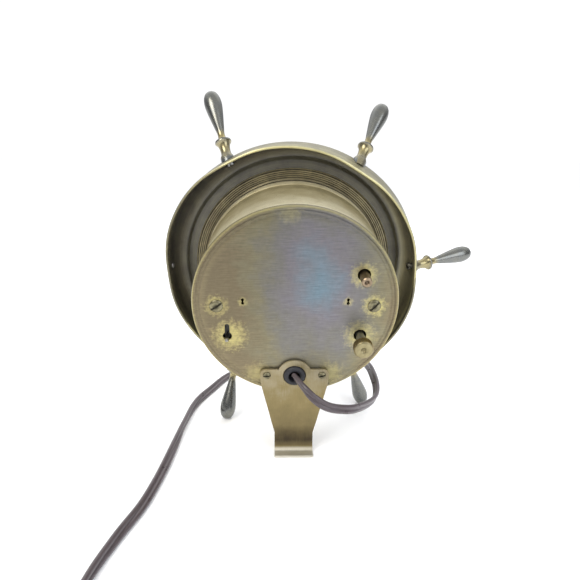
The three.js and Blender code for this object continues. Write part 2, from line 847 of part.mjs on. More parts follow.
function plugBody() {
  const half = PLUG_WIDTH / 2;
  const shape = polygon([
    [0, 4.2],
    [-PLUG_COLLAR, 4.6],
    [-PLUG_COLLAR - 5, half - 1.5],
    [-PLUG_COLLAR - 9, half],
    [-PLUG_COLLAR - PLUG_LENGTH + 2, half],
    [-PLUG_COLLAR - PLUG_LENGTH, half - 2],
    [-PLUG_COLLAR - PLUG_LENGTH, -half + 2],
    [-PLUG_COLLAR - PLUG_LENGTH + 2, -half],
    [-PLUG_COLLAR - 9, -half],
    [-PLUG_COLLAR - 5, -half + 1.5],
    [-PLUG_COLLAR, -4.6],
    [0, -4.2],
  ]);
  const body = new THREE.ExtrudeGeometry(shape, { depth: PLUG_HEIGHT, bevelEnabled: false });
  body.translate(0, 0, 0.2);
  return cut(body, plugBlade(-1, GAP), plugBlade(1, GAP));
}

// ---------- assembly ----------
function buildCase() {
  piece("wheel_shell", wheelShell(), DARK_BRASS);
  piece("case_drum", caseDrum(), AGED_BRASS);
  piece("back_plate", backPlate(), PATINA);
  piece("bracket_leg", bracketLeg(), GOLDEN_BRASS);
  piece("cord_grommet", cordGrommet(), RUBBER);
  const legSeat = LEG_GAP + LEG_T + GAP;
  [["left", -1, 0.3], ["right", 1, 0.1]].forEach(([side, sign, turn]) => {
    piece(`case_post_${side}`, casePost(sign * POST_X), STEEL);
    piece(`plate_screw_${side}`, plateScrew(sign * POST_X, 0, 3.6, 1.5, 11, GAP, turn + 0.5), AGED_BRASS);
    piece(
      `bracket_screw_${side}`,
      plateScrew(sign * LEG_SCREW_X, LEG_SCREW_Z, 2.2, 1, 5.5, legSeat, turn),
      AGED_BRASS,
    );
  });
}

function buildHandles() {
  const rim = rimBody(GAP);
  HANDLES.forEach((spec) => {
    piece(`handle_at_${spec.hour}`, handle(spec, rim), GREY_METAL);
    piece(`handle_screw_at_${spec.hour}`, handleScrew(spec), STEEL);
  });
}

function buildDialSide() {
  const dialShape = disc(DIAL_R);
  dialShape.holes.push(disc(3.8));
  piece("bezel_ring", bezelRing(), BRIGHT_BRASS);
  piece("crystal", crystal(), GLASS);
  piece("dial_ring", dialRing(), BRIGHT_BRASS);
  piece("dial_plate", slab(dialShape, DIAL_DEPTH, DIAL_T, 16), DIAL_CREAM);
}

// Clockwise turns from 12, as seen from the front.
const turnHand = (geometry, degrees) => geometry.rotateY(rad(degrees));

function buildHands() {
  const hour = [[0.9, -7], [1.2, 0], [1.2, 12], [3.2, 20], [0.3, 31]];
  const minute = [[0.8, -9], [1, 0], [1, 24], [2.2, 32], [0.3, 44]];
  const seconds = [[1.2, -15], [0.4, 0], [0.25, 43]];
  const alarm = [[0.6, -4], [0.6, 12], [1.6, 14], [0.3, 21]];
  piece("alarm_hand", turnHand(hand(alarm, 5.2, 3.7, 62, 0.5), 180), RED);
  piece("hour_hand", turnHand(hand(hour, 4.4, 2.8, 63.2, 0.5), 305), HAND_BLACK);
  piece("minute_hand", turnHand(hand(minute, 3.4, 1.9, 64.5, 0.5), 60), HAND_BLACK);
  piece("seconds_hand", turnHand(hand(seconds, 2.2, 0.9, 66, 0.4), 200), HAND_BLACK);
}

function buildMovement() {
  const post = 1.8;
  const stems = [[2.9, STEM_X, STEM_Z], [2.9, STEM_X, -STEM_Z]];
  piece(
    "movement_back_plate",
    framePlate(REAR_FRAME_DEPTH, [...stems, [post, POST_X, 0], [post, -POST_X, 0], [1.1, ROTOR_X, ROTOR_Z]]),
    BRIGHT_BRASS,
  );
  const frontHoles = [...stems, [1.9, 0, 0], [1.1, 0, MOTION_Z]];
  piece("movement_front_plate", framePlate(FRONT_FRAME_DEPTH, frontHoles), BRIGHT_BRASS);
  PILLARS_AT.forEach((angle, i) => {
    const x = PILLAR_RING * Math.cos(angle);
    const z = PILLAR_RING * Math.sin(angle);
    const from = REAR_FRAME_DEPTH + FRAME_T + GAP;
    piece(`movement_pillar_${i + 1}`, rod(PILLAR_R, from, FRONT_FRAME_DEPTH - GAP, x, z), BRIGHT_BRASS);
  });
  piece("motor_core", motorCore(), STEEL);
  piece("motor_coil", motorCoil(), COIL_WRAP);
  piece("rotor", rotor(), STEEL);
  piece("rotor_bridge", rotorBridge(), BRIGHT_BRASS);
  piece("buzzer_reed", buzzerReed(), STEEL);
}

function buildTrain() {
  const setAngle = Math.atan2(-STEM_Z, STEM_X);
  const alarmAngle = Math.atan2(STEM_Z, STEM_X);
  piece("seconds_arbor", rod(0.6, 31, 66.8, 0, 0, 4), STEEL);
  piece("seconds_wheel", secondsWheel(), BRIGHT_BRASS);
  piece("minute_arbor", minuteArbor(), STEEL);
  piece("setting_wheel", stemWheel(setAngle, 39, 1.9), BRIGHT_BRASS);
  piece("motion_wheel", motionWheel(), BRIGHT_BRASS);
  piece("hour_wheel", hourWheel(), BRIGHT_BRASS);
  piece("alarm_wheel", join(stemWheel(alarmAngle, 52, 3.1), tube(3.4, 2.8, 51.2, 62.8, 16)), BRIGHT_BRASS);
  piece("hand_set_gear", stemGear(setAngle, 39, 2.7), BRIGHT_BRASS);
  piece("alarm_set_gear", stemGear(alarmAngle, 52, 2.7), BRIGHT_BRASS);
}

function buildControls() {
  const knob = turned(
    [
      [0, 15.4],
      [1.2, 15.5],
      [1.8, 16],
      [4.6, 16],
      [5.2, 15.4],
      [5.2, 10.8],
      [4.6, 10.2],
      [2.7, 10.2],
      [2.7, 13.9],
      [0, 13.9],
    ],
    18,
  );
  piece("hand_set_stem", rod(2.4, -13.6, 45.8, STEM_X, -STEM_Z), STEEL);
  piece("hand_set_knob", knob.translate(STEM_X, 0, -STEM_Z), AGED_BRASS);
  const alarmStem = join(rod(2.4, 1, 54.5, STEM_X, STEM_Z), rod(2.7, -10, 1, STEM_X, STEM_Z, 8));
  piece("alarm_set_stem", alarmStem, COPPER);
  piece("alarm_lever", alarmLever(), STEEL);
}

function buildCord() {
  piece("cord_lead", cordTube(CORD_ROUTE, 44), CORD_BROWN, part);
  piece("cord_coil", cordCoil(), CORD_BROWN, part);
  piece("cord_tail", cordTube(TAIL_ROUTE, 3), CORD_BROWN, part);
  const plug = new THREE.Group();
  plug.position.set(39, 205, 0);
  part.add(plug);
  piece("plug_body", plugBody(), HAND_BLACK, plug);
  piece("plug_blade_left", plugBlade(-1), BRIGHT_BRASS, plug);
  piece("plug_blade_right", plugBlade(1), BRIGHT_BRASS, plug);
}

buildCase();
buildHandles();
buildDialSide();
buildHands();
buildMovement();
buildTrain();
buildControls();
buildCord();

// Stand the clock on its surface: leaned back, its footprint centred on the origin.
clock.rotation.x = -LEAN;
clock.updateMatrixWorld(true);
const box = new THREE.Box3().setFromObject(clock, true);
const centre = box.getCenter(new THREE.Vector3());
clock.position.set(-centre.x, -centre.y, -box.min.z);
part.add(clock);

export default part;
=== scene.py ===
"""A ship's deck clock in a spun brass wheel rim, seen from behind, with its flat mains cord.

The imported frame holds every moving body. This script dresses it: each sub-assembly is a class that builds its
meshes in the clock's own millimetres and gives them their finish.
"""

import json
import logging
import math
from collections.abc import Callable, Iterable, Sequence
from dataclasses import dataclass, field
from enum import Enum

import bmesh
import bpy
from mathutils import Matrix, Vector


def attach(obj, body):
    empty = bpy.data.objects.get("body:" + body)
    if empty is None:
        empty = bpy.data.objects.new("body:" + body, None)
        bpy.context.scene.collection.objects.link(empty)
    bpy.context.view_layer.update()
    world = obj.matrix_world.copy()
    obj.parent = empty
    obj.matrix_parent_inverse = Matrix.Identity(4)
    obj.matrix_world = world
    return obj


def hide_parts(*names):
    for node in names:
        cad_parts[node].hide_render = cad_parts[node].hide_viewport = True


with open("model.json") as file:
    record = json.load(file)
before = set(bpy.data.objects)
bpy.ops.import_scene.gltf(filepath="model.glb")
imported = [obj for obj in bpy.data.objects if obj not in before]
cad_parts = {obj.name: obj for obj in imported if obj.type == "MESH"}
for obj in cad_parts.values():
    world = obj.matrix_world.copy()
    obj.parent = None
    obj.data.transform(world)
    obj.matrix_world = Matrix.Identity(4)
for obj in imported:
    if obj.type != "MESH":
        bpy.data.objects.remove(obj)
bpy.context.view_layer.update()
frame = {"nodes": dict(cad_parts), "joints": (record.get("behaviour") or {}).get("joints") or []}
LOG = logging.getLogger("deck_clock")
MM = 0.001  # metres in a millimetre
Pair = tuple[float, float]
Triple = tuple[float, float, float]
Quad = tuple[float, float, float, float]
Outline = Sequence[Pair]
Profile = Sequence[Triple]  # radius, y and tone of each point of a turned outline
Mesh = bmesh.types.BMesh
Piece = bpy.types.Object
Material = bpy.types.Material
Tree = bpy.types.NodeTree
Node = bpy.types.Node
ROUND = 288  # faces round a large turned piece


class Body(Enum):
    """The bodies of the frame that new pieces ride on."""

    CASE = "case"
    SECONDS = "seconds"
    MINUTE = "minute"
    HOUR = "hour"
    ALARM_TIME = "alarm_time"
    HAND_SETTING = "hand_setting"
    ALARM_SETTING = "alarm_setting"
    ALARM_SWITCH = "alarm_switch"


class Slot(Enum):
    """The record's material slots."""

    AGED_BRASS = "aged_brass"
    DARK_BRASS = "dark_brass"
    PATINA = "patina_brass"
    GOLDEN = "golden_brass"
    BRIGHT = "bright_brass"
    NICKEL = "nickel"
    STEEL = "steel"
    COPPER = "copper"
    RUBBER = "black_rubber"
    VINYL = "cord_vinyl"
    PLASTIC = "black_plastic"
    BLACK = "hand_paint"
    RED = "alarm_paint"
    GLASS = "glass"


@dataclass(frozen=True)
class Stand:
    """Where the clock stands: its own millimetres, with +Y behind the dial, against the frame's metres."""

    matrix: Matrix

    @classmethod
    def of_frame(cls) -> "Stand":
        """Reads the lean and the place of the dial's axis from the minute hand's joint.

        Returns:
            The stand.
        """
        joint = next(j for j in frame["joints"] if j["name"] == "minute_turn")
        back = Vector(joint["axis"]).normalized()
        right = Vector((1, 0, 0))
        turn = Matrix((right, back, right.cross(back))).transposed().to_4x4()
        return cls(Matrix.Translation(Vector(joint["pos_m"])) @ turn @ Matrix.Scale(MM, 4))

    def at(self, x: float, y: float, z: float) -> Vector:
        """The frame's place of a point of the clock, in metres."""
        return self.matrix @ Vector((x, y, z))


# The clock's places, in its own millimetres: X to the reader's right, Y back along the dial's axis, Z up.
STEM = (-35.5, 18.0)  # the alarm's stem; the hand setting stem is as far below the axis
KEYHOLE = (36.8, -18.4)  # the round end of the alarm pin's slot
POST = 42.0  # the two posts that hold the back plate, to either side
SLOTS = (28.0, 2.5)  # the two small slots, to either side
CORD_HOLE = -43.0
LEG_SCREW = (15.5, -42.7)
LEAN = math.radians(10)  # how far back the clock leans on its leg
PLATE_R = 55.0
DRUM_R = 53.3
DRUM_BORE = 52.5
STAND = Stand.of_frame()
GROUND = Matrix.Scale(MM, 4)  # for what lies on the surface and is given in the frame's own millimetres


# ---------- nodes ----------
def linear(colour: str) -> Quad:
    """An sRGB hex colour as linear RGBA.

    Args:
        colour: Six hex digits after a #.

    Returns:
        Red, green, blue and alpha.
    """
    parts = [int(colour[i : i + 2], 16) / 255 for i in (1, 3, 5)]
    r, g, b = (c / 12.92 if c <= 0.04045 else ((c + 0.055) / 1.055) ** 2.4 for c in parts)
    return r, g, b, 1.0


def add(tree: Tree, kind: str, inputs: dict | None = None, **settings: object) -> Node:
    """Adds a node with its settings and links.

    Args:
        tree: The node tree.
        kind: The node's type.
        inputs: Each input socket's value, or the node (by its first output) or output socket that feeds it.
        settings: The node's own properties. `stops` sets a colour ramp's places and colours, and `span` a
            map range's two ends and what they become.

    Returns:
        The new node.
    """
    node = tree.nodes.new(kind)
    for key, value in settings.items():
        if key == "stops":
            elements = node.color_ramp.elements
            while len(elements) < len(value):
                elements.new(0.5)
            for element, (place, colour) in zip(elements, value):
                element.position = place
                element.color = linear(colour)
        elif key == "span":
            for socket, end in zip(("From Min", "From Max", "To Min", "To Max"), value):
                node.inputs[socket].default_value = end
        else:
            setattr(node, key, value)
    for key, value in (inputs or {}).items():
        if isinstance(value, Node):
            value = value.outputs[0]
        if isinstance(value, bpy.types.NodeSocket):
            tree.links.new(value, node.inputs[key])
        else:
            node.inputs[key].default_value = value
    return node


@dataclass(frozen=True)
class Finish:
    """A finish: its name and how its nodes are made. `local` gives patterns the clock's own millimetres."""

    name: str

    def build(self) -> Material:
        """Makes the material.

        Returns:
            The material.
        """
        material = bpy.data.materials.new(self.name)
        material.use_nodes = True
        tree = material.node_tree
        tree.nodes.clear()
        shader = self.shade(tree)
        add(tree, "ShaderNodeOutputMaterial", {"Surface": shader})
        return material

    def local(self, tree: Tree) -> Node:
        """The place on the surface in the clock's own millimetres.

        Args:
            tree: The material's node tree.

        Returns:
            The node that gives it.
        """
        back = STAND.matrix.inverted()
        place, turn, _ = back.decompose()
        coords = add(tree, "ShaderNodeTexCoord")
        moved = {"Location": place, "Rotation": turn.to_euler(), "Scale": [1 / MM] * 3}
        return add(tree, "ShaderNodeMapping", {"Vector": coords.outputs["Object"], **moved})

    def shade(self, tree: Tree) -> Node:
        """Adds the nodes and returns the shader."""
        raise NotImplementedError


@dataclass(frozen=True)
class TurnedMetal(Finish):
    """Metal spun or turned on a lathe: fine rings round the axis, blotches of age, and wear and painted light
    and shade by its tone.
    """

    low: str
    mid: str
    high: str
    rough: Pair
    mottle: float  # how much the blotches change the tone
    ringing: float  # and how much the rings do
    blotch_mm: float = 9.0
    line_mm: float = 0.45  # coarser than a tool's real feed of 0.1 mm, so that it shows
    bump: float = 0.12
    even: float | None = None  # one tone all over, for pieces without the attribute
    bare: float = 1.0  # how much of the surface is metal and not grime

    def shade(self, tree: Tree) -> Node:
        """Adds the nodes and returns the shader.

        Args:
            tree: The material's node tree.

        Returns:
            The shader.
        """
        here = self.local(tree)
        flat = add(tree, "ShaderNodeVectorMath", {0: here, 1: (1, 0, 1)}, operation="MULTIPLY")
        radius = add(tree, "ShaderNodeVectorMath", {0: flat}, operation="LENGTH")
        split = add(tree, "ShaderNodeSeparateXYZ", {0: here})
        across = add(tree, "ShaderNodeCombineXYZ", {"X": radius.outputs["Value"], "Y": split.outputs["Y"]})
        rings = add(
            tree,
            "ShaderNodeTexNoise",
            {"Vector": across, "Scale": 1 / self.line_mm, "Detail": 3.0, "Roughness": 0.6},
        )
        bands = add(tree, "ShaderNodeTexNoise", {"Vector": across, "Scale": 0.22, "Detail": 2.0})
        blotch = add(
            tree,
            "ShaderNodeTexNoise",
            {
                "Vector": here, "Scale": 1 / self.blotch_mm, "Detail": 5.0, "Roughness": 0.62,
                "Distortion": 0.4,
            },
        )
        specks = add(
            tree, "ShaderNodeTexNoise", {"Vector": here, "Scale": 1.6, "Detail": 4.0, "Roughness": 0.7}
        )
        # The tone holds wear, and on the drum and the wheel's inside it also holds painted light and shade.
        tone = self.even
        if tone is None:
            tone = add(tree, "ShaderNodeAttribute", attribute_name="tone").outputs["Fac"]
        age_and_light = add(tree, "ShaderNodeMath", {0: blotch, 1: self.mottle, 2: tone}, operation="MULTIPLY_ADD")
        ringed = add(tree, "ShaderNodeMath", {0: rings, 1: self.ringing, 2: age_and_light}, operation="MULTIPLY_ADD")
        banded = add(
            tree, "ShaderNodeMath", {0: bands, 1: self.ringing, 2: ringed}, operation="MULTIPLY_ADD"
        )
        centred = add(
            tree, "ShaderNodeMath", {0: banded, 1: self.mottle / 2 + self.ringing}, operation="SUBTRACT"
        )
        colour = add(
            tree,
            "ShaderNodeValToRGB",
            {"Fac": centred},
            stops=[(0.0, self.low), (0.5, self.mid), (1.0, self.high)],
        )
        dirt = add(tree, "ShaderNodeMapRange", {"Value": specks}, span=(0.3, 0.75, *self.rough))
        relief = add(tree, "ShaderNodeMath", {0: rings, 1: 0.6, 2: specks}, operation="MULTIPLY_ADD")
        bump = add(tree, "ShaderNodeBump", {"Height": relief, "Strength": self.bump, "Distance": 0.05 * MM})
        return add(
            tree,
            "ShaderNodeBsdfPrincipled",
            {"Base Color": colour, "Metallic": self.bare, "Roughness": dirt, "Normal": bump},
        )


@dataclass(frozen=True)
class PlatePatina(Finish):
    """Sheet brass gone grey under old lacquer, rubbed through to yellow round what is handled."""

    halos: tuple[Quad, ...]  # x, z, radius and strength of each rubbed place
    bluish: str = "#788d99"
    mauve: str = "#827f84"
    tarnish: str = "#7f7d76"
    olive: str = "#878169"
    bronze: str = "#837860"
    yellow: str = "#d4c886"

    def shade(self, tree: Tree) -> Node:
        """Adds the nodes and returns the shader.

        Args:
            tree: The material's node tree.

        Returns:
            The shader.
        """
        here = self.local(tree)
        wide = add(
            tree, "ShaderNodeTexNoise", {"Vector": here, "Scale": 1 / 22, "Detail": 6.0, "Roughness": 0.62}
        )
        fine = add(
            tree, "ShaderNodeTexNoise", {"Vector": here, "Scale": 1 / 2.2, "Detail": 6.0, "Roughness": 0.7}
        )
        rolled = add(tree, "ShaderNodeVectorMath", {0: here, 1: (0.06, 1.0, 1.2)}, operation="MULTIPLY")
        grain = add(tree, "ShaderNodeTexNoise", {"Vector": rolled, "Scale": 2.0, "Detail": 4.0})
        flat = add(tree, "ShaderNodeVectorMath", {0: here, 1: (1, 0, 1)}, operation="MULTIPLY")
        drawn = add(tree, "ShaderNodeVectorMath", {0: flat, 1: (1.5, 0, 0.8)}, operation="MULTIPLY")
        middle = add(tree, "ShaderNodeVectorMath", {0: drawn, 1: (-18, 0, 12)}, operation="DISTANCE")
        spread = add(
            tree, "ShaderNodeMath", {0: wide, 1: 62.0, 2: middle.outputs["Value"]}, operation="MULTIPLY_ADD"
        )
        ground = add(tree, "ShaderNodeMapRange", {"Value": spread}, span=(26.0, 96.0, 0.0, 1.0))
        base = add(
            tree,
            "ShaderNodeValToRGB",
            {"Fac": ground},
            stops=[
                (0.05, self.bluish), (0.38, self.mauve), (0.6, self.tarnish), (0.82, self.olive),
                (1.0, self.bronze),
            ],
        )
        rubbed: Node | None = None
        for x, z, reach, strength in self.halos:
            away = add(tree, "ShaderNodeVectorMath", {0: flat, 1: (x, 0, z)}, operation="DISTANCE")
            ragged = add(
                tree,
                "ShaderNodeMath",
                {0: fine, 1: -2.6 * reach, 2: away.outputs["Value"]},
                operation="MULTIPLY_ADD",
            )
            glow = add(
                tree,
                "ShaderNodeMapRange",
                {"Value": ragged},
                span=(-0.9 * reach, 0.15 * reach, strength, 0.0),
            )
            rubbed = add(tree, "ShaderNodeMath", {0: rubbed or 0.0, 1: glow}, operation="MAXIMUM")
        tone = add(tree, "ShaderNodeAttribute", attribute_name="tone")
        bare = add(
            tree, "ShaderNodeMath", {0: rubbed, 1: tone.outputs["Fac"]}, operation="MAXIMUM", use_clamp=True
        )
        colour = add(
            tree, "ShaderNodeMix", {"Factor": bare, "A": base, "B": linear(self.yellow)}, data_type="RGBA"
        )
        shade = add(tree, "ShaderNodeMapRange", {"Value": grain}, span=(0.3, 0.7, 0.82, 1.14))
        # Painted shade: the colour is darkened towards the top of the plate and lightened low down.
        height = add(tree, "ShaderNodeSeparateXYZ", {0: here})
        upper = add(
            tree, "ShaderNodeMapRange", {"Value": height.outputs["Z"]}, span=(-30.0, 45.0, 1.04, 0.66)
        )
        stains = add(tree, "ShaderNodeMapRange", {"Value": fine}, span=(0.32, 0.68, 0.88, 1.1))
        mottled = add(tree, "ShaderNodeMath", {0: shade, 1: stains}, operation="MULTIPLY")
        both = add(tree, "ShaderNodeMath", {0: mottled, 1: upper}, operation="MULTIPLY")
        worn = add(
            tree, "ShaderNodeVectorMath", {0: colour.outputs["Result"], "Scale": both}, operation="SCALE"
        )
        rough = add(tree, "ShaderNodeMapRange", {"Value": fine}, span=(0.3, 0.7, 0.34, 0.55))
        pits = add(tree, "ShaderNodeTexVoronoi", {"Vector": here, "Scale": 0.35, "Randomness": 1.0})
        dents = add(tree, "ShaderNodeMapRange", {"Value": pits}, span=(0.0, 0.12, -0.7, 0.0))
        relief = add(tree, "ShaderNodeMath", {0: fine, 1: dents}, operation="ADD")
        bump = add(tree, "ShaderNodeBump", {"Height": relief, "Strength": 0.22, "Distance": 0.08 * MM})
        return add(
            tree,
            "ShaderNodeBsdfPrincipled",
            {"Base Color": worn, "Metallic": 0.8, "Roughness": rough, "Normal": bump},
        )


@dataclass(frozen=True)
class BrushedSheet(Finish):
    """Sheet brass brushed along its length, with painted shade at the bend and a painted reflection on the toe.
    Tone runs from dark to bright.
    """

    # Dark is the painted shade at the bend, and bright is the pale painted reflection on the toe.
    dark: str = "#463d2e"
    mid: str = "#8d7f58"
    bright: str = "#cdc9bb"

    def shade(self, tree: Tree) -> Node:
        """Adds the nodes and returns the shader.

        Args:
            tree: The material's node tree.

        Returns:
            The shader.
        """
        here = self.local(tree)
        along = add(tree, "ShaderNodeVectorMath", {0: here, 1: (3.0, 1.0, 0.12)}, operation="MULTIPLY")
        brush = add(
            tree, "ShaderNodeTexNoise", {"Vector": along, "Scale": 1.0, "Detail": 5.0, "Roughness": 0.6}
        )
        cloud = add(
            tree, "ShaderNodeTexNoise", {"Vector": here, "Scale": 1 / 8, "Detail": 4.0, "Roughness": 0.6}
        )
        tone = add(tree, "ShaderNodeAttribute", attribute_name="tone")
        age_and_light = add(
            tree, "ShaderNodeMath", {0: cloud, 1: 0.3, 2: tone.outputs["Fac"]}, operation="MULTIPLY_ADD"
        )
        lined = add(tree, "ShaderNodeMath", {0: brush, 1: 0.22, 2: age_and_light}, operation="MULTIPLY_ADD")
        centred = add(tree, "ShaderNodeMath", {0: lined, 1: 0.26}, operation="SUBTRACT")
        colour = add(
            tree,
            "ShaderNodeValToRGB",
            {"Fac": centred},
            stops=[(0.0, self.dark), (0.5, self.mid), (1.0, self.bright)],
        )
        rough = add(tree, "ShaderNodeMapRange", {"Value": brush}, span=(0.3, 0.7, 0.36, 0.5))
        bump = add(tree, "ShaderNodeBump", {"Height": brush, "Strength": 0.15, "Distance": 0.05 * MM})
        return add(
            tree,
            "ShaderNodeBsdfPrincipled",
            {"Base Color": colour, "Metallic": 0.75, "Roughness": rough, "Normal": bump},
        )


@dataclass(frozen=True)
class Moulded(Finish):
    """Moulded rubber, vinyl or plastic, and smooth paint: one colour with a faint mottle and a fine skin."""

    colour: str
    second: str
    rough: Pair
    grain_mm: float  # coarser than the real skin, so that it shows
    mottle_mm: float
    bump: float
    coat: float = 0.0

    def shade(self, tree: Tree) -> Node:
        """Adds the nodes and returns the shader.

        Args:
            tree: The material's node tree.

        Returns:
            The shader.
        """
        here = self.local(tree)
        mottle = add(tree, "ShaderNodeTexNoise", {"Vector": here, "Scale": 1 / self.mottle_mm, "Detail": 4.0})
        grain = add(tree, "ShaderNodeTexNoise", {"Vector": here, "Scale": 1 / self.grain_mm, "Detail": 3.0})
        colour = add(
            tree, "ShaderNodeValToRGB", {"Fac": mottle}, stops=[(0.3, self.colour), (0.7, self.second)]
        )
        rough = add(tree, "ShaderNodeMapRange", {"Value": mottle}, span=(0.3, 0.7, *self.rough))
        bump = add(tree, "ShaderNodeBump", {"Height": grain, "Strength": self.bump, "Distance": 0.05 * MM})
        return add(
            tree,
            "ShaderNodeBsdfPrincipled",
            {
                "Base Color": colour, "Roughness": rough, "Normal": bump, "Coat Weight": self.coat,
                "Coat Roughness": 0.15,
            },
        )


@dataclass(frozen=True)
class ClearGlass(Finish):
    """Blown soda glass with a faint film of dust."""

    def shade(self, tree: Tree) -> Node:
        """Adds the nodes and returns the shader.

        Args:
            tree: The material's node tree.

        Returns:
            The shader.
        """
        here = self.local(tree)
        film = add(tree, "ShaderNodeTexNoise", {"Vector": here, "Scale": 1 / 14, "Detail": 5.0})
        rough = add(tree, "ShaderNodeMapRange", {"Value": film}, span=(0.35, 0.7, 0.01, 0.06))
        return add(
            tree,
            "ShaderNodeBsdfPrincipled",
            {"Base Color": linear("#f4f8f7"), "Roughness": rough, "IOR": 1.5, "Transmission Weight": 1.0},
        )


# ---------- mesh helpers ----------
def settle(
    name: str,
    mesh: Mesh,
    place: Matrix,
    material: Material,
    sharp: float = 38.0,
) -> Piece:
    """Turns a mesh in millimetres into a finished object at the origin.

    Args:
        name: The piece's name.
        mesh: Its mesh, freed afterwards.
        place: From its millimetres to the frame's metres.
        material: Its material.
        sharp: Edges that bend by more than this many degrees stay crisp.

    Returns:
        The object.
    """
    bmesh.ops.remove_doubles(mesh, verts=mesh.verts, dist=1e-4)
    bmesh.ops.recalc_face_normals(mesh, faces=mesh.faces)
    mesh.transform(place)
    mesh.normal_update()
    crease(mesh, sharp)
    data = bpy.data.meshes.new(name)
    mesh.to_mesh(data)
    mesh.free()
    data.materials.append(material)
    piece = bpy.data.objects.new(name, data)
    bpy.context.scene.collection.objects.link(piece)
    return piece


def crease(mesh: Mesh, sharp: float) -> None:
    """Shades a mesh smooth but for edges that bend by more than so many degrees.

    Args:
        mesh: The mesh.
        sharp: The most that a smooth edge bends.
    """
    limit = math.radians(sharp)
    for edge in mesh.edges:
        edge.smooth = len(edge.link_faces) == 2 and edge.calc_face_angle(0.0) < limit
    for face in mesh.faces:
        face.smooth = True


def applied(piece: Piece) -> Piece:
    """Turns a piece's modifiers into its mesh and removes them.

    Args:
        piece: The piece.

    Returns:
        The same piece.
    """
    bpy.context.view_layer.update()
    graph = bpy.context.evaluated_depsgraph_get()
    data = bpy.data.meshes.new_from_object(
        piece.evaluated_get(graph), preserve_all_data_layers=True, depsgraph=graph
    )
    old = piece.data
    piece.modifiers.clear()
    piece.data = data
    data.name = old.name
    bpy.data.meshes.remove(old)
    return piece


def turned(profile: Profile, segments: int, bend: Callable[[Vector], Vector] | None = None) -> Mesh:
    """A piece turned about the Y axis, with its tone as an attribute.

    Args:
        profile: Radius, y and tone of each point. It starts and ends on the axis, or closes on itself.
        segments: Faces round the axis.
        bend: Moves each point, for what is no longer round.

    Returns:
        The mesh.
    """
    mesh = bmesh.new()
    tone = mesh.verts.layers.float.new("tone")
    rings = []
    for radius, y, shade in profile:
        ring = []
        for i in range(1 if radius < 1e-6 else segments):
            angle = 2 * math.pi * i / segments
            point = Vector((radius * math.cos(angle), y, radius * math.sin(angle)))
            vert = mesh.verts.new(bend(point) if bend else point)
            vert[tone] = shade
            ring.append(vert)
        rings.append(ring)
    pairs = list(zip(rings, rings[1:]))
    if profile[0][0] > 1e-6:
        pairs.append((rings[-1], rings[0]))
    for a, b in pairs:
        for i in range(segments):
            corners = [a[i % len(a)], a[(i + 1) % len(a)], b[(i + 1) % len(b)], b[i % len(b)]]
            face = list(dict.fromkeys(corners))
            if len(face) > 2:
                mesh.faces.new(face)
    return mesh


def softened(profile: Profile, radius: float, closed: bool, steps: int = 3) -> list[Triple]:
    """Rounds the corners of an outline, as filing and polishing do.

    Args:
        profile: The outline's points.
        radius: How far from each corner the rounding starts, in millimetres.
        closed: Whether the outline closes on itself.
        steps: Points on each rounding.

    Returns:
        The rounded outline.
    """
    points = [Vector(p) for p in profile]
    out: list[Triple] = []
    for i, corner in enumerate(points):
        if not closed and i in (0, len(points) - 1):
            out.append(tuple(corner))
            continue
        before = points[i - 1]
        after = points[(i + 1) % len(points)]
        start = corner + (before - corner) * min(0.45, radius / max((before - corner).xy.length, 1e-6))
        end = corner + (after - corner) * min(0.45, radius / max((after - corner).xy.length, 1e-6))
        for k in range(steps + 1):
            t = k / steps
            out.append(tuple(start * (1 - t) ** 2 + corner * 2 * t * (1 - t) + end * t**2))
    return out


def rod(radius: float, low: float, high: float, x: float = 0, z: float = 0, sides: int = 48) -> Mesh:
    """A plain round bar along Y, used to cut holes.

    Args:
        radius: Its radius.
        low: Where it starts.
        high: Where it ends.
        x: Its axis, to the right.
        z: Its axis, up.
        sides: Faces round it.

    Returns:
        The mesh.
    """
    mesh = turned([(0, low, 0), (radius, low, 0), (radius, high, 0), (0, high, 0)], sides)
    bmesh.ops.translate(mesh, verts=mesh.verts, vec=(x, 0, z))
    return mesh


def block(size: Triple, centre: Triple) -> Mesh:
    """A plain box, used to cut slots and to start small pieces.

    Args:
        size: Its three sides.
        centre: Its middle.

    Returns:
        The mesh.
    """
    mesh = bmesh.new()
    bmesh.ops.create_cube(mesh, size=1.0, matrix=Matrix.Translation(centre) @ Matrix.Diagonal((*size, 1)))
    return mesh


def sheet(edge: Iterable[Sequence[float]], grow: Sequence[float]) -> Mesh:
    """A flat piece cut to an outline.

    Args:
        edge: The outline's corners in space, all in one plane.
        grow: The way and how far the piece is thick.

    Returns:
        The mesh.
    """
    mesh = bmesh.new()
    face = mesh.faces.new([mesh.verts.new(point) for point in edge])
    grown = bmesh.ops.extrude_face_region(mesh, geom=[face])["geom"]
    bmesh.ops.translate(mesh, verts=[v for v in grown if isinstance(v, bmesh.types.BMVert)], vec=grow)
    return mesh


def joined(parts: Iterable[Mesh]) -> Mesh:
    """Puts meshes together as one and frees them.

    Args:
        parts: The meshes.

    Returns:
        The joined mesh.
    """
    whole = bmesh.new()
    for part in parts:
        data = bpy.data.meshes.new("part")
        part.to_mesh(data)
        part.free()
        whole.from_mesh(data)
        bpy.data.meshes.remove(data)
    return whole


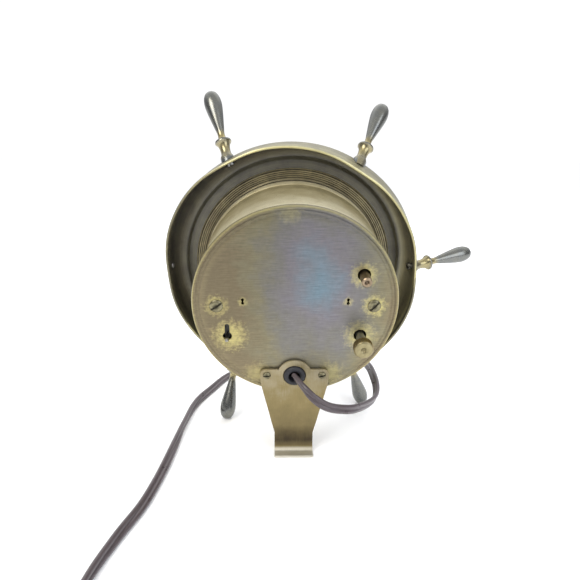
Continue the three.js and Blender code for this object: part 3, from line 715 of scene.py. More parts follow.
def carved(piece: Piece, tools: Iterable[Mesh], place: Matrix) -> Piece:
    """Cuts holes and slots out of a piece.

    Args:
        piece: The piece.
        tools: The solids to take away, in millimetres, none touching another.
        place: From their millimetres to the frame's metres.

    Returns:
        The piece.
    """
    solids = list(tools)
    for solid in solids:
        bmesh.ops.recalc_face_normals(solid, faces=solid.faces)
    cutter = settle("cutter", joined(solids), place, piece.data.materials[0])
    cut = piece.modifiers.new("cut", "BOOLEAN")
    cut.operation = "DIFFERENCE"
    cut.solver = "EXACT"
    cut.use_self = True
    cut.object = cutter
    applied(piece)
    data = cutter.data
    bpy.data.objects.remove(cutter)
    bpy.data.meshes.remove(data)
    mesh = bmesh.new()
    mesh.from_mesh(piece.data)
    crease(mesh, 35)
    mesh.to_mesh(piece.data)
    mesh.free()
    return piece


def bevelled(piece: Piece, width: float, segments: int = 2) -> Piece:
    """Breaks a piece's sharp edges by a width in millimetres.

    Args:
        piece: The piece.
        width: How wide each bevel is.
        segments: Faces across it.

    Returns:
        The same piece.
    """
    edge = piece.modifiers.new("edge", "BEVEL")
    edge.width = width * MM
    edge.segments = segments
    edge.limit_method = "ANGLE"
    edge.angle_limit = math.radians(40)
    edge.harden_normals = False
    return applied(piece)


def mounted(piece: Piece, body: Body, slot: Slot, *replaced: str) -> Piece:
    """Rides a piece on its body, hides the CAD nodes it stands for, and logs it.

    Args:
        piece: The piece.
        body: What it moves with.
        slot: The record's slot; not used.
        replaced: The CAD nodes it stands for.

    Returns:
        The same piece.
    """
    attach(piece, body.value)
    if replaced:
        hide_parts(*replaced)
    LOG.info("%s on %s, %d faces", piece.name, body.value, len(piece.data.polygons))
    return piece


# ---------- finishes ----------
@dataclass
class Finishes:
    """Every material, made once."""

    halos: tuple[Quad, ...]
    made: dict[str, Material] = field(default_factory=dict)

    def build(self) -> None:
        """Makes the materials."""
        # Each metal's hollows and painted shade, its middle tone, and what is rubbed or carries a painted
        # highlight.
        tarnished = ("#4c4a48", "#85816a", "#ddd6a2")
        satin = ("#3f3b36", "#b5a981", "#fbf6dc")
        polished = ("#75673f", "#b09c66", "#ddd0a0")
        nickel = ("#62686f", "#838279", "#a89a68")
        yellow = ("#8a7434", "#cdb064", "#f0dfa2")
        steel = ("#4e4e4c", "#8f8f8c", "#c9c8c2", (0.26, 0.42), 0.25, 0.2, 4.0)  # and its gloss and pattern
        everything: list[Finish] = [
            # Spun brass that nobody polishes inside the wheel: dull, and tarnished nearly black.
            TurnedMetal("tarnished_spun_brass", *tarnished, (0.3, 0.5), 0.34, 0.34, bare=0.6),
            # Drawn brass tube turned on a lathe: satin, with the tool's rings under a warm haze.
            TurnedMetal("satin_drawn_brass", *satin, (0.26, 0.42), 0.45, 0.26, bare=0.5),
            # Turned brass buffed bright on the bezel: clear reflections and hardly a ring.
            TurnedMetal("polished_brass", *polished, (0.16, 0.32), 0.35, 0.12, bump=0.06),
            # Nickel plate on turned brass, worn through on the collars: cold grey grips with yellow waists.
            TurnedMetal("worn_nickel", *nickel, (0.18, 0.38), 0.5, 0.06, 5.0, bump=0.1),
            # Bright mild steel, turned: grey, with soft reflections.
            TurnedMetal("turned_steel", *steel),
            # Turned brass screws with old oil in the slots: brown in the hollows and yellow on the domes.
            TurnedMetal("oiled_screw_brass", "#3f3d33", "#7f7a62", "#c4bb90", (0.28, 0.45), 0.6, 0.15, 2.5),
            # Turned brass often held: brown in the knurl and rubbed on the face.
            TurnedMetal("handled_brass", "#4c4430", "#8c8262", "#bdb38a", (0.28, 0.42), 0.4, 0.2, 3.0),
            # Steel flashed with copper: a dull pinkish brown.
            TurnedMetal("copper_flashed_steel", "#4c4238", "#83725f", "#a8977e", (0.3, 0.45), 0.5, 0.1, 3.0),
            # Half-hard brass plate milled flat: yellow and even, with fine lines.
            TurnedMetal("machined_brass", "#6b5a33", "#a89058", "#e0cc8e", (0.26, 0.4), 0.3, 0.2, even=0.5),
            # Brass wheels cut and stoned: brighter and smoother than the plates.
            TurnedMetal("cut_wheel_brass", *yellow, (0.18, 0.3), 0.3, 0.12, even=0.5, bump=0.06),
            # The same steel on pieces that carry no tone of their own.
            TurnedMetal("machined_steel", *steel, even=0.5),
            # Pressed sheet brass gone grey and blue under old lacquer.
            PlatePatina("grey_patina_brass", self.halos),
            # Sheet brass brushed along its length.
            BrushedSheet("brushed_golden_brass"),
            # Moulded rubber: matt black with a fine skin.
            Moulded("moulded_black_rubber", "#17181d", "#24252b", (0.45, 0.6), 0.5, 5.0, 0.2),
            # Extruded vinyl: dark brown and smooth, with a soft sheen.
            Moulded("brown_vinyl", "#433a3d", "#4d4448", (0.26, 0.38), 0.9, 9.0, 0.08, 0.25),
            # Pressed phenolic resin: nearly black, glossy and slightly wavy.
            Moulded("phenolic", "#1b1512", "#2a201b", (0.2, 0.32), 1.0, 4.0, 0.06, 0.2),
            # Enamel sprayed on sheet metal: aged cream with an eggshell sheen.
            Moulded("cream_enamel", "#e9e0c6", "#dfd4b4", (0.4, 0.55), 0.8, 18.0, 0.05),
            # Printing ink and hand paint: flat black.
            Moulded("black_paint", "#14130f", "#201f1b", (0.3, 0.42), 0.7, 4.0, 0.05),
            # Brushed paint on the alarm's hand: a dull red.
            Moulded("red_paint", "#9c2418", "#8a2016", (0.35, 0.45), 0.7, 4.0, 0.05),
            # Cotton cloth wound on the coil and varnished: amber, with the weave showing through.
            Moulded("varnished_cloth", "#8a5a2a", "#6d441d", (0.35, 0.5), 0.5, 3.0, 0.4),
            # Blown soda glass.
            ClearGlass("clear_glass"),
        ]
        for finish in everything:
            self.made[finish.name] = finish.build()
            LOG.info("finish %s", finish.name)

    def __getitem__(self, name: str) -> Material:
        """The material of a name."""
        return self.made[name]

    def dress(self, material: str, *nodes: str) -> None:
        """Gives CAD nodes a material.

        Args:
            material: The material's name.
            nodes: The nodes' names.
        """
        for node in nodes:
            slots = frame["nodes"][node].data.materials
            slots.clear()
            slots.append(self[material])


# ---------- camera, surface and light ----------
@dataclass
class Studio:
    """The camera behind the clock, the pale surface and soft light."""

    pitch: float = 25.5  # degrees the camera looks down on the back plate
    yaw: float = 1.2
    roll: float = -0.55
    distance: float = 281.3  # millimetres from the plate, along the view
    aside: Pair = (2.86, -8.47)  # the plate's centre in the camera's own X and Y
    film: float = 36.0  # width of the sensor, in millimetres
    focal: float = 32.8966

    def camera(self) -> None:
        """Makes the scene's camera."""
        # The clock's X runs to the viewer's left and its Y towards the viewer.
        faces = Matrix(((-1, 0, 0, 0), (0, 0, 1, 0), (0, 1, 0, 0), (0, 0, 0, 1)))
        turn = (
            Matrix.Rotation(math.radians(self.roll), 4, "Z")
            @ Matrix.Rotation(math.radians(self.pitch), 4, "X")
            @ Matrix.Rotation(math.radians(self.yaw), 4, "Y")
        )
        see = Matrix.Translation((*self.aside, -self.distance)) @ turn @ faces
        place = STAND.matrix @ see.inverted()
        lens = bpy.data.cameras.new("camera")
        lens.lens = self.focal
        lens.sensor_width = self.film
        lens.clip_start = 0.01
        lens.clip_end = 20
        eye = bpy.data.objects.new("camera", lens)
        eye.matrix_world = Matrix.LocRotScale(place.translation, place.to_quaternion(), None)
        bpy.context.scene.collection.objects.link(eye)
        bpy.context.scene.camera = eye

    def surface(self) -> None:
        """Lays the pale surface."""
        mesh = bmesh.new()
        bmesh.ops.create_grid(mesh, x_segments=1, y_segments=1, size=6000)
        # Matt white card, which shows only a soft shadow.
        material = bpy.data.materials.new("pale_surface")
        material.use_nodes = True
        shader = material.node_tree.nodes["Principled BSDF"]
        shader.inputs["Base Color"].default_value = linear("#fbfcff")
        shader.inputs["Roughness"].default_value = 0.9
        shader.inputs["Specular IOR Level"].default_value = 0.1
        settle("surface", mesh, GROUND @ Matrix.Translation((0, 0, -0.05)), material)

    def lamp(
        self, name: str, at: Triple, size: float, power: float, tint: str, mirrored: bool = True
    ) -> None:
        """Hangs one soft lamp that faces the clock.

        Args:
            name: The lamp's name.
            at: Its place, in metres.
            size: Its side, in metres.
            power: Its watts.
            tint: Its colour.
            mirrored: Whether shiny pieces reflect it.
        """
        light = bpy.data.lights.new(name, "AREA")
        light.size = size
        light.energy = power
        light.color = linear(tint)[:3]
        lamp = bpy.data.objects.new(name, light)
        lamp.location = at
        target = STAND.at(0, -30, 0)
        lamp.rotation_euler = (target - Vector(at)).to_track_quat("-Z", "Y").to_euler()
        lamp.visible_glossy = mirrored
        bpy.context.scene.collection.objects.link(lamp)

    def light(self) -> None:
        """Sets a bright room and three soft lamps."""
        world = bpy.data.worlds.new("room")
        bpy.context.scene.world = world
        world.use_nodes = True
        tree = world.node_tree
        tree.nodes.clear()
        ray = add(tree, "ShaderNodeLightPath")
        way = add(tree, "ShaderNodeTexCoord")
        split = add(tree, "ShaderNodeSeparateXYZ", {0: way.outputs["Generated"]})
        room = add(
            tree,
            "ShaderNodeValToRGB",
            {"Fac": add(tree, "ShaderNodeMapRange", {"Value": split.outputs["Z"], "From Min": -1.0})},
            stops=[
                (0.0, "#ececee"), (0.48, "#d8d8da"), (0.56, "#8c8c90"), (0.68, "#b0b0b2"),
                (0.85, "#ffffff"), (1.0, "#ffffff"),
            ],
        )
        bright = add(tree, "ShaderNodeBackground", {"Color": (1, 1, 1, 1), "Strength": 1.06})
        front = add(tree, "ShaderNodeMapRange", {"Value": split.outputs["Y"]}, span=(-0.75, 0.05, 1.9, 0.9))
        seen = add(tree, "ShaderNodeBackground", {"Color": room, "Strength": front})
        mix = add(tree, "ShaderNodeMixShader", {"Fac": ray.outputs["Is Glossy Ray"], 1: bright, 2: seen})
        add(tree, "ShaderNodeOutputWorld", {"Surface": mix})
        self.lamp("key", (0.5, 0.55, 0.75), 0.5, 5.0, "#fffaf0")
        self.lamp("fill", (-0.6, 0.6, 0.5), 0.6, 3.0, "#f2f6ff")
        self.lamp("front", (-0.2, -0.8, 0.7), 0.7, 5.0, "#ffffff", mirrored=False)
        bpy.context.scene.view_settings.view_transform = "Standard"

    def build(self) -> None:
        """Makes the camera, the surface and the light."""
        self.camera()
        self.surface()
        self.light()


# ---------- cord ----------
@dataclass
class MainsCord:
    """The flat two-conductor cord: out of the back, round below the case, over the surface to its coil."""

    exit: Triple = (20, 30.1, 54)  # millimetres in the frame, as the route
    length: float = 1.76  # metres, rounded from the route and six turns of the coil; near a usual 1.8 m lead
    width: float = 5.4
    lobe: float = 1.36  # radius of each conductor's cover
    lies: float = 2.8  # height of the route where it lies
    settling: float = 3.5  # from this much above it the cord comes down onto its flat or its edge
    clear: float = 0.05  # between the cord and the surface
    spacing: float = 1.6  # about how far apart the sweep's sections are
    coil: Pair = (77, 172)
    layers: tuple[float, ...] = (33.0, 30.0, 27.0, 27.0, 30.0, 33.0)  # each turn's radius
    levels: tuple[float, ...] = (2.85, 2.85, 2.85, 8.4, 8.4, 8.4)  # and height
    # The tail's x and height at each knot, down into the plug.
    tail: Outline = ((60.6, 8.4), (56, 8.2), (50, 7.6), (44, 7.2), (38, 7.2))
    tail_at: float = 205  # the tail's y, as the plug's

    def route(self) -> list[Quad]:
        """The free stretch: each point with how far the flat side is turned up on edge, in degrees."""
        low = self.lies
        return [
            (*self.exit, 60), (15.2, 38.4, 51.3, 70), (9.5, 42.2, 46.4, 82), (1.7, 42.1, 41.3, 90),
            (-9.9, 36.2, 36.7, 90), (-19.7, 25, 32.8, 82), (-29.3, 9.3, 29.9, 66), (-33, -5.8, 30.3, 52),
            (-33.3, -21.6, 31.8, 45), (-32.6, -35.6, 31.4, 40), (-31, -60, 24, 36), (-22, -77, 16.5, 30),
            (-9, -92, 8, 20), (9, -104, 3.4, 8), (31, -109, low, 0), (51, -102.5, low, 0),
            (67.5, -87, low, 10), (79.5, -60, low, 30), (87.6, -35, low, 70), (90.6, -9, low, 90),
            (92, 16, low, 55), (94.5, 46, low, 18), (97.5, 69, low, 25), (104, 95, low, 60),
            (109, 120, low, 85), (110, 140, low, 90), (110, 154.2, low, 90),
        ]

    def coiled(self) -> list[Quad]:
        """The neat coil: each turn holds its radius and steps to the next over its last part.

        Returns:
            The coil's points.
        """
        points = []
        per_turn = 24
        turns = len(self.layers)
        steps_at = 0.75  # share of each turn after which it moves to the next
        past = per_turn // 4  # the cord leaves the coil a quarter turn later
        for i in range(per_turn * turns + past):
            turn, share = divmod(i / per_turn, 1)
            here = min(int(turn), turns - 1)
            after = min(here + 1, turns - 1)
            step = max(0.0, (share - steps_at) / (1 - steps_at)) if turn < turns else 0.0
            blend = step * step * (3 - 2 * step)
            radius = self.layers[here] + (self.layers[after] - self.layers[here]) * blend
            height = self.levels[here] + (self.levels[after] - self.levels[here]) * blend
            angle = 2 * math.pi * i / per_turn
            x, y = self.coil
            points.append((x + radius * math.cos(angle), y + radius * math.sin(angle), height, 90))
        return points

    def line(self) -> list[tuple[Vector, float]]:
        """The whole centreline, sampled closely, with its turn in radians.

        Returns:
            Each point with its turn.
        """
        last = len(self.tail) - 1
        ends = [(x, self.tail_at, z, 90 - 90 * i / last) for i, (x, z) in enumerate(self.tail)]
        knots = [Vector(p) for p in self.route() + self.coiled() + ends]
        line = []
        for sample in flowing(knots, self.spacing):
            turn = math.radians(sample.w)
            point = sample.xyz
            rest = self.lobe + (self.width / 2 - self.lobe) * abs(math.sin(turn)) + self.clear
            near = min(1.0, max(0.0, (self.lies + self.settling - point.z) / self.settling))
            point.z += (rest - point.z) * near * near * (3 - 2 * near)
            line.append((point, turn))
        return line

    @staticmethod
    def between(a: Vector, b: Vector, c: Vector, d: Vector, t: float) -> Vector:
        """A point of the centripetal curve through four knots, from b at 0 to c at 1.

        Args:
            a: The knot before.
            b: The knot it leaves.
            c: The knot it comes to.
            d: The knot after.
            t: How far from b to c, up to 1.

        Returns:
            The point.
        """
        ta = 0.0
        tb = ta + max((b - a).length, 1e-3) ** 0.5
        tc = tb + max((c - b).length, 1e-3) ** 0.5
        td = tc + max((d - c).length, 1e-3) ** 0.5
        u = tb + (tc - tb) * t
        ab = a * ((tb - u) / (tb - ta)) + b * ((u - ta) / (tb - ta))
        bc = b * ((tc - u) / (tc - tb)) + c * ((u - tb) / (tc - tb))
        cd = c * ((td - u) / (td - tc)) + d * ((u - tc) / (td - tc))
        abc = ab * ((tc - u) / (tc - ta)) + bc * ((u - ta) / (tc - ta))
        bcd = bc * ((td - u) / (td - tb)) + cd * ((u - tb) / (td - tb))
        return abc * ((tc - u) / (tc - tb)) + bcd * ((u - tb) / (tc - tb))

    def section(self) -> list[Pair]:
        """The cord's cut end: two round covers joined by a web, with a groove between them.

        Returns:
            Its outline.
        """
        centre = self.width / 2 - self.lobe
        arc = [math.radians(a) for a in range(-150, 151, 25)]
        right = [(centre + self.lobe * math.cos(a), self.lobe * math.sin(a)) for a in arc]
        return right + [(-x, -y) for x, y in right]

    def build(self, finishes: Finishes) -> Piece:
        """Sweeps the section along the line.

        Args:
            finishes: Every material.

        Returns:
            The cord.
        """
        line = self.line()
        mesh = bmesh.new()
        rings = []
        for i, (point, turn) in enumerate(line):
            ahead = (line[min(i + 1, len(line) - 1)][0] - line[max(i - 1, 0)][0]).normalized()
            side = ahead.cross(Vector((0, 0, 1))).normalized()
            up = side.cross(ahead)
            wide = side * math.cos(turn) + up * math.sin(turn)
            thin = wide.cross(ahead)
            rings.append([mesh.verts.new(point + wide * x + thin * y) for x, y in self.section()])
        count = len(rings[0])
        for a, b in zip(rings, rings[1:]):
            for k in range(count):
                mesh.faces.new((a[k], a[(k + 1) % count], b[(k + 1) % count], b[k]))
        mesh.faces.new(rings[0])
        mesh.faces.new(reversed(rings[-1]))
        cord = settle("mains_cord", mesh, GROUND, finishes["brown_vinyl"], 60)
        return mounted(cord, Body.CASE, Slot.VINYL, "cord_lead", "cord_coil", "cord_tail")

    def declare(self) -> None:
        """Logs how long the cord is.
        """
        path = [tuple(point * MM) for point, _ in self.line()]
        length = sum((Vector(b) - Vector(a)).length for a, b in zip(path, path[1:]))
        LOG.info("cord length %.3f m", length)


@dataclass
class Plug:
    """The two-blade plug at the cord's end, moulded with a ribbed grip."""

    at: Pair = (39, 205)  # where the cord enters, in the frame's millimetres
    collar: float = 6
    length: float = 24
    width: float = 25
    height: float = 13.6
    lift: float = 0.3  # its underside is this far off the surface
    rib_count: int = 7
    rib_step: float = 2.0

    def body(self, finishes: Finishes) -> Piece:
        """Moulds the plug's body.

        Args:
            finishes: Every material.

        Returns:
            The piece.
        """
        half = self.width / 2
        end = -self.collar - self.length
        edge = [(0, 3.6), (-self.collar, 4.4), (-self.collar - 5, half - 1.6), (-self.collar - 9, half - 0.2)]
        edge += [(end + 1.2, half - 0.4), (end, half - 1.4)]
        outline = edge + [(x, -y) for x, y in reversed(edge)]
        mesh = sheet([(x, y, self.lift) for x, y in outline], (0, 0, self.height))
        place = GROUND @ Matrix.Translation((*self.at, 0))
        body = settle("plug_shell", mesh, place, finishes["phenolic"], 60)
        pockets = [block((8, 2.1, 6.9), (end, side * 6.35, 7.2)) for side in (-1, 1)]
        carved(body, pockets, place)
        bevelled(body, 1.1, 3)
        return mounted(body, Body.CASE, Slot.PLASTIC, "plug_body")

    def build(self, finishes: Finishes) -> list[Piece]:
        """Makes the body and its grip ribs, and dresses the blades.

        Args:
            finishes: Every material.

        Returns:
            The pieces.
        """
        size, step = (0.9, self.width - 7, 0.7), (self.rib_step, 0, 0)
        ribs = Repeated("plug_grip_ribs", self.rib_count, 0, size, step).mesh(finishes["phenolic"])
        start = self.at[0] - self.collar - 8 - self.rib_step * (self.rib_count - 1)
        ribs.data.transform(GROUND @ Matrix.Translation((start, self.at[1], self.height + self.lift)))
        mounted(ribs, Body.CASE, Slot.PLASTIC)
        blades = ("plug_blade_left", "plug_blade_right")
        finishes.dress("cut_wheel_brass", *blades)
        return [self.body(finishes), ribs, *(frame["nodes"][blade] for blade in blades)]


# ---------- repeats ----------
@dataclass
class Repeated:
    """Small bars repeated in a row or round a circle by Geometry Nodes, in the XY plane, in millimetres."""

    name: str
    count: int
    radius: float
    size: Triple
    step: Triple = (0, 0, 0)
    skip: int = 0  # leave out every bar whose number divides by this

    def tree(self) -> Tree:
        """Builds the node tree, with its sizes as named inputs.

        Returns:
            The node tree.
        """
        group = bpy.data.node_groups.new(self.name, "GeometryNodeTree")
        sockets = {"Count": "NodeSocketInt", "Radius": "NodeSocketFloat", "Size": "NodeSocketVector"}
        sockets |= {"Step": "NodeSocketVector", "Skip": "NodeSocketInt", "Finish": "NodeSocketMaterial"}
        for key, kind in sockets.items():
            group.interface.new_socket(key, in_out="INPUT", socket_type=kind)
        group.interface.new_socket("Geometry", in_out="OUTPUT", socket_type="NodeSocketGeometry")
        given = add(group, "NodeGroupInput").outputs
        row = add(
            group, "GeometryNodeMeshLine", {"Count": given["Count"], "Offset": given["Step"]}, mode="OFFSET"
        )
        number = add(group, "GeometryNodeInputIndex")
        share = add(group, "ShaderNodeMath", {0: number, 1: given["Count"]}, operation="DIVIDE")
        angle = add(group, "ShaderNodeMath", {0: share, 1: 2 * math.pi}, operation="MULTIPLY")
        cosine = add(group, "ShaderNodeMath", {0: angle}, operation="COSINE")
        sine = add(group, "ShaderNodeMath", {0: angle}, operation="SINE")
        unit = add(group, "ShaderNodeCombineXYZ", {"X": cosine, "Y": sine})
        out = add(group, "ShaderNodeVectorMath", {0: unit, "Scale": given["Radius"]}, operation="SCALE")
        ring = add(group, "GeometryNodeSetPosition", {"Geometry": row, "Offset": out})
        left = add(group, "ShaderNodeMath", {0: number, 1: given["Skip"]}, operation="MODULO")
        gone = add(group, "ShaderNodeMath", {0: left, 1: 0.5}, operation="LESS_THAN")
        used = add(group, "ShaderNodeMath", {0: given["Skip"], 1: 0.5}, operation="GREATER_THAN")
        drop = add(group, "ShaderNodeMath", {0: gone, 1: used}, operation="MULTIPLY")
        bar = add(group, "GeometryNodeMeshCube", {"Size": given["Size"]})
        around = add(group, "ShaderNodeMath", {0: given["Radius"], 1: 0.001}, operation="GREATER_THAN")
        spin = add(group, "ShaderNodeMath", {0: angle, 1: around}, operation="MULTIPLY")
        # The angle is read before bars are left out, so that those that stay keep their own.
        stored = add(
            group,
            "GeometryNodeStoreNamedAttribute",
            {"Geometry": ring, "Name": "spin", "Value": spin},
            data_type="FLOAT",
        )
        kept = add(group, "GeometryNodeDeleteGeometry", {"Geometry": stored, "Selection": drop})
        read = add(group, "GeometryNodeInputNamedAttribute", {"Name": "spin"}, data_type="FLOAT")
        turn = add(group, "ShaderNodeCombineXYZ", {"Z": read.outputs["Attribute"]})
        bars = add(
            group,
            "GeometryNodeInstanceOnPoints",
            {"Points": kept, "Instance": bar.outputs["Mesh"], "Rotation": turn},
        )
        real = add(group, "GeometryNodeRealizeInstances", {"Geometry": bars})
        dressed = add(group, "GeometryNodeSetMaterial", {"Geometry": real, "Material": given["Finish"]})
        add(group, "NodeGroupOutput", {"Geometry": dressed})
        return group

    def mesh(self, material: Material) -> Piece:
        """Runs the tree and returns its result as a plain mesh, in millimetres.

        Args:
            material: The bars' material.

        Returns:
            The piece.
        """
        piece = bpy.data.objects.new(self.name, bpy.data.meshes.new(self.name))
        bpy.context.scene.collection.objects.link(piece)
        group = self.tree()
        modifier = piece.modifiers.new(self.name, "NODES")
        modifier.node_group = group
        sockets = {s.name: s.identifier for s in group.interface.items_tree if s.in_out == "INPUT"}
        values = {"Count": self.count, "Radius": float(self.radius), "Size": self.size, "Step": self.step}
        values |= {"Skip": self.skip, "Finish": material}
        for key, value in values.items():
            modifier[sockets[key]] = value
        applied(piece)
        piece.data.materials.clear()
        piece.data.materials.append(material)
        piece.data.polygons.foreach_set("material_index", [0] * len(piece.data.polygons))
        for attribute in [a for a in piece.data.attributes if a.name == "spin"]:
            piece.data.attributes.remove(attribute)
        return piece


# ---------- case ----------
STATIONS = tuple(math.radians(a) for a in (0, 60, 120, 180, 240, 300))  # where the wheel's spokes once were
RIM_R = 76.0
LIP = 41.5  # depths count forward from the back plate, towards the dial
FACE = 61.5
HANDLE_DEPTH = 55.0
WALL = 75.0  # inside radius of the wheel's wall
TURN = 7.5  # inside radius of the turn from its wall into its face
SHEET = 1.0  # thickness of its sheet


def rim_shift(angle: float, depth: float) -> float:
    """How far the old rim stands out of true, in millimetres: oval, off centre and drawn in at each handle.

    Args:
        angle: Round the axis, in radians.
        depth: In front of the back plate.

    Returns:
        The shift outwards.
    """
    along = min(1.0, max(0.0, (FACE - depth) / (FACE - LIP)))
    dip = 0.0
    for station in STATIONS:
        away = abs((angle - station + math.pi) % (2 * math.pi) - math.pi)
        dip = max(dip, 1.3 * math.exp(-((away / math.radians(12)) ** 2)))
    oval = 2.2 * math.cos(2 * (angle - math.radians(45)))
    aside = 0.8 * math.cos(angle + math.radians(45))
    return along * (oval + aside - dip)


def untrue(point: Vector) -> Vector:
    """Moves a point of the wheel with its out-of-round rim.

    Args:
        point: A point of the true wheel.

    Returns:
        The moved point.
    """
    radius = math.hypot(point.x, point.z)
    if radius < WALL - TURN:
        return point
    grown = radius + rim_shift(math.atan2(point.z, point.x), -point.y)
    return Vector((point.x * grown / radius, point.y, point.z * grown / radius))


def corner(out: float, tone: float, steps: int = 10) -> list[Triple]:
    """The turn from the wheel's wall into its face, for its inside or, grown outwards, its outside.

    Args:
        out: How far outside the inner skin.
        tone: The tone of every point.
        steps: Points less one.

    Returns:
        The outline's points.
    """
    points = []
    for i in range(steps + 1):
        turn = i / steps * math.pi / 2
        reach = TURN + out
        points.append((WALL - TURN + reach * math.cos(turn), -(FACE - TURN + reach * math.sin(turn)), tone))
    return points


def radial(tool: Mesh, angle: float) -> Mesh:
    """Turns a tool made along +Y to point outwards at an angle of the rim, in the plane of the handles.

    Args:
        tool: The mesh, moved in place.
        angle: In radians.

    Returns:
        The same mesh.
    """
    turn = Matrix.Rotation(-angle, 4, "Y") @ Matrix.Rotation(-math.pi / 2, 4, "Z")
    bmesh.ops.transform(tool, matrix=Matrix.Translation((0, -HANDLE_DEPTH, 0)) @ turn, verts=tool.verts)
    return tool


@dataclass
class WheelCase:
    """The spun wheel shell, the drum that holds the movement, and the front bezel with its glass."""

    finishes: Finishes

    def shell(self) -> Piece:
        """Spins the wheel shell with its rolled lip and drills the six spoke holes.

        Returns:
            The shell.
        """
        wall = [
            (74.85, -43.6, 0.5), (74.95, -44.6, 0.34), (WALL, -46.2, 0.3), (WALL, -48.5, 0.12),
            (WALL, -52, 0.1),
        ]
        ledge = [
            (66.6, -FACE, 0.14), (66.2, -61.3, 0.3), (65.2, -59.8, 0.28), (64.6, -59.5, 0.14),
            (50, -59.5, 0.1),
        ]
        inside = [*wall, *corner(0, 0.1), *ledge]
        front = [(50, -60.5, 0.3), (64.4, -60.5, 0.3), (65.4, -62.5, 0.4)]
        outside = [*front, *reversed(corner(SHEET, 0.5)), (RIM_R, -50, 0.5), (RIM_R, -44, 0.6)]
        bead = [
            (76.25, -42.9, 0.6), (76.2, -42.0, 0.75), (75.6, -41.5, 0.85), (75.0, -41.7, 0.8),
            (74.7, -42.6, 0.6),
        ]
        mesh = turned([*inside, *outside, *bead], ROUND, untrue)
        tone = mesh.verts.layers.float["tone"]
        for vert in mesh.verts:
            away = vert.co.xz.length
            if vert[tone] < 0.4 and away > 68:  # painted light: the inside wall is toned lighter low down and on one side
                vert[tone] += 0.13 - 0.11 * vert.co.z / away - 0.13 * vert.co.x / away
            elif away > 74 and vert.co.y > -44:  # painted highlight: the lip is toned brightest at its top and bottom, darker at its sides
                vert[tone] -= 0.4 * abs(vert.co.x) / away
        shell = settle("spun_wheel_shell", mesh, STAND.matrix, self.finishes["tarnished_spun_brass"])
        holes = [radial(rod(1.8, 68, 84), angle) for angle in STATIONS]
        carved(shell, holes, STAND.matrix)
        return mounted(shell, Body.CASE, Slot.DARK_BRASS, "wheel_shell")

    def drum(self) -> Piece:
        """Turns the drum with its light ridges and the flange that is screwed to the wheel. Its tone is painted
        light: bright by the plate, painted shade deep in the wheel.

        Returns:
            The drum.
        """
        r, proud = DRUM_R, DRUM_R + 0.32
        # Painted light: the tone falls from bright by the plate to dark deep inside the wheel.
        outside = [(r, -1.5, 0.95), (r, -6, 0.85), (r, -14, 0.7), (r, -30, 0.55), (r, -46, 0.4)]
        # Each ridge has a painted highlight on its crown and painted shade at its root.
        ridges = []
        for i in range(4):
            y = -47.0 - 2.1 * i
            ridges += [(r, y, 0.4), (proud, y - 0.35, 0.75), (proud, y - 0.9, 0.6), (r, y - 1.25, 0.1)]
        # The flange deep in the wheel is toned dark as painted shade, with painted highlights on its rings.
        flange = [(r, -56, 0), (53.6, -56.8, 0.1), (54.3, -57.2, 0.3)]
        for ring in (54.9, 56.0, 57.1, 58.2):
            flange += [(ring, -57.75, 0), (ring + 0.3, -57.5, 0.4), (ring + 0.8, -57.5, 0.12)]
        flange += [
            (59.4, -57.9, 0), (60, -58.5, 0.5), (60, -59.2, 0.2), (DRUM_BORE, -59.2, 0.2),
            (DRUM_BORE, -1.5, 0.3),
        ]
        mesh = turned([*outside, *ridges, *flange], ROUND)
        drum = settle("case_tube", mesh, STAND.matrix, self.finishes["satin_drawn_brass"])
        return mounted(drum, Body.CASE, Slot.AGED_BRASS, "case_drum")

    def bezel(self) -> Piece:
        """Turns the polished bezel.

        Returns:
            The bezel.
        """
        back = [(52, -60.8, 0.4), (63, -60.8, 0.4), (63, -62.6, 0.5), (61.6, -63.6, 0.3), (61, -65, 0.5)]
        front = [(60.2, -66.9, 0.6), (57, -69.9, 0.6), (53, -71.5, 0.65), (50.4, -71.5, 0.6)]
        rebate = [(49, -70.6, 0.5), (49, -70.4, 0.4), (52, -70.4, 0.3)]
        mesh = turned(softened([*back, *front, *rebate], 0.5, closed=True), ROUND)
        bezel = settle("turned_bezel", mesh, STAND.matrix, self.finishes["polished_brass"])
        return mounted(bezel, Body.CASE, Slot.BRIGHT, "bezel_ring")

    def crystal(self) -> Piece:
        """Blows the domed crystal, which the bezel holds by its flat edge.

        Returns:
            The crystal.
        """
        steps, rise, back, front = 12, 3.6, -68.5, -70.1
        dome = [(48 * i / steps, rise * (1 - (i / steps) ** 2)) for i in range(steps + 1)]
        inner = [(r, back - h, 0) for r, h in dome]
        outer = [(r, front - h, 0) for r, h in reversed(dome)]
        mesh = turned([*inner, (51.7, back, 0), (51.7, front, 0), *outer], ROUND // 2)
        glass = settle("domed_crystal", mesh, STAND.matrix, self.finishes["clear_glass"])
        return mounted(glass, Body.CASE, Slot.GLASS, "crystal")

    def build(self) -> None:
        """Makes the four pieces."""
        self.shell()
        self.drum()
        self.bezel()
        self.crystal()


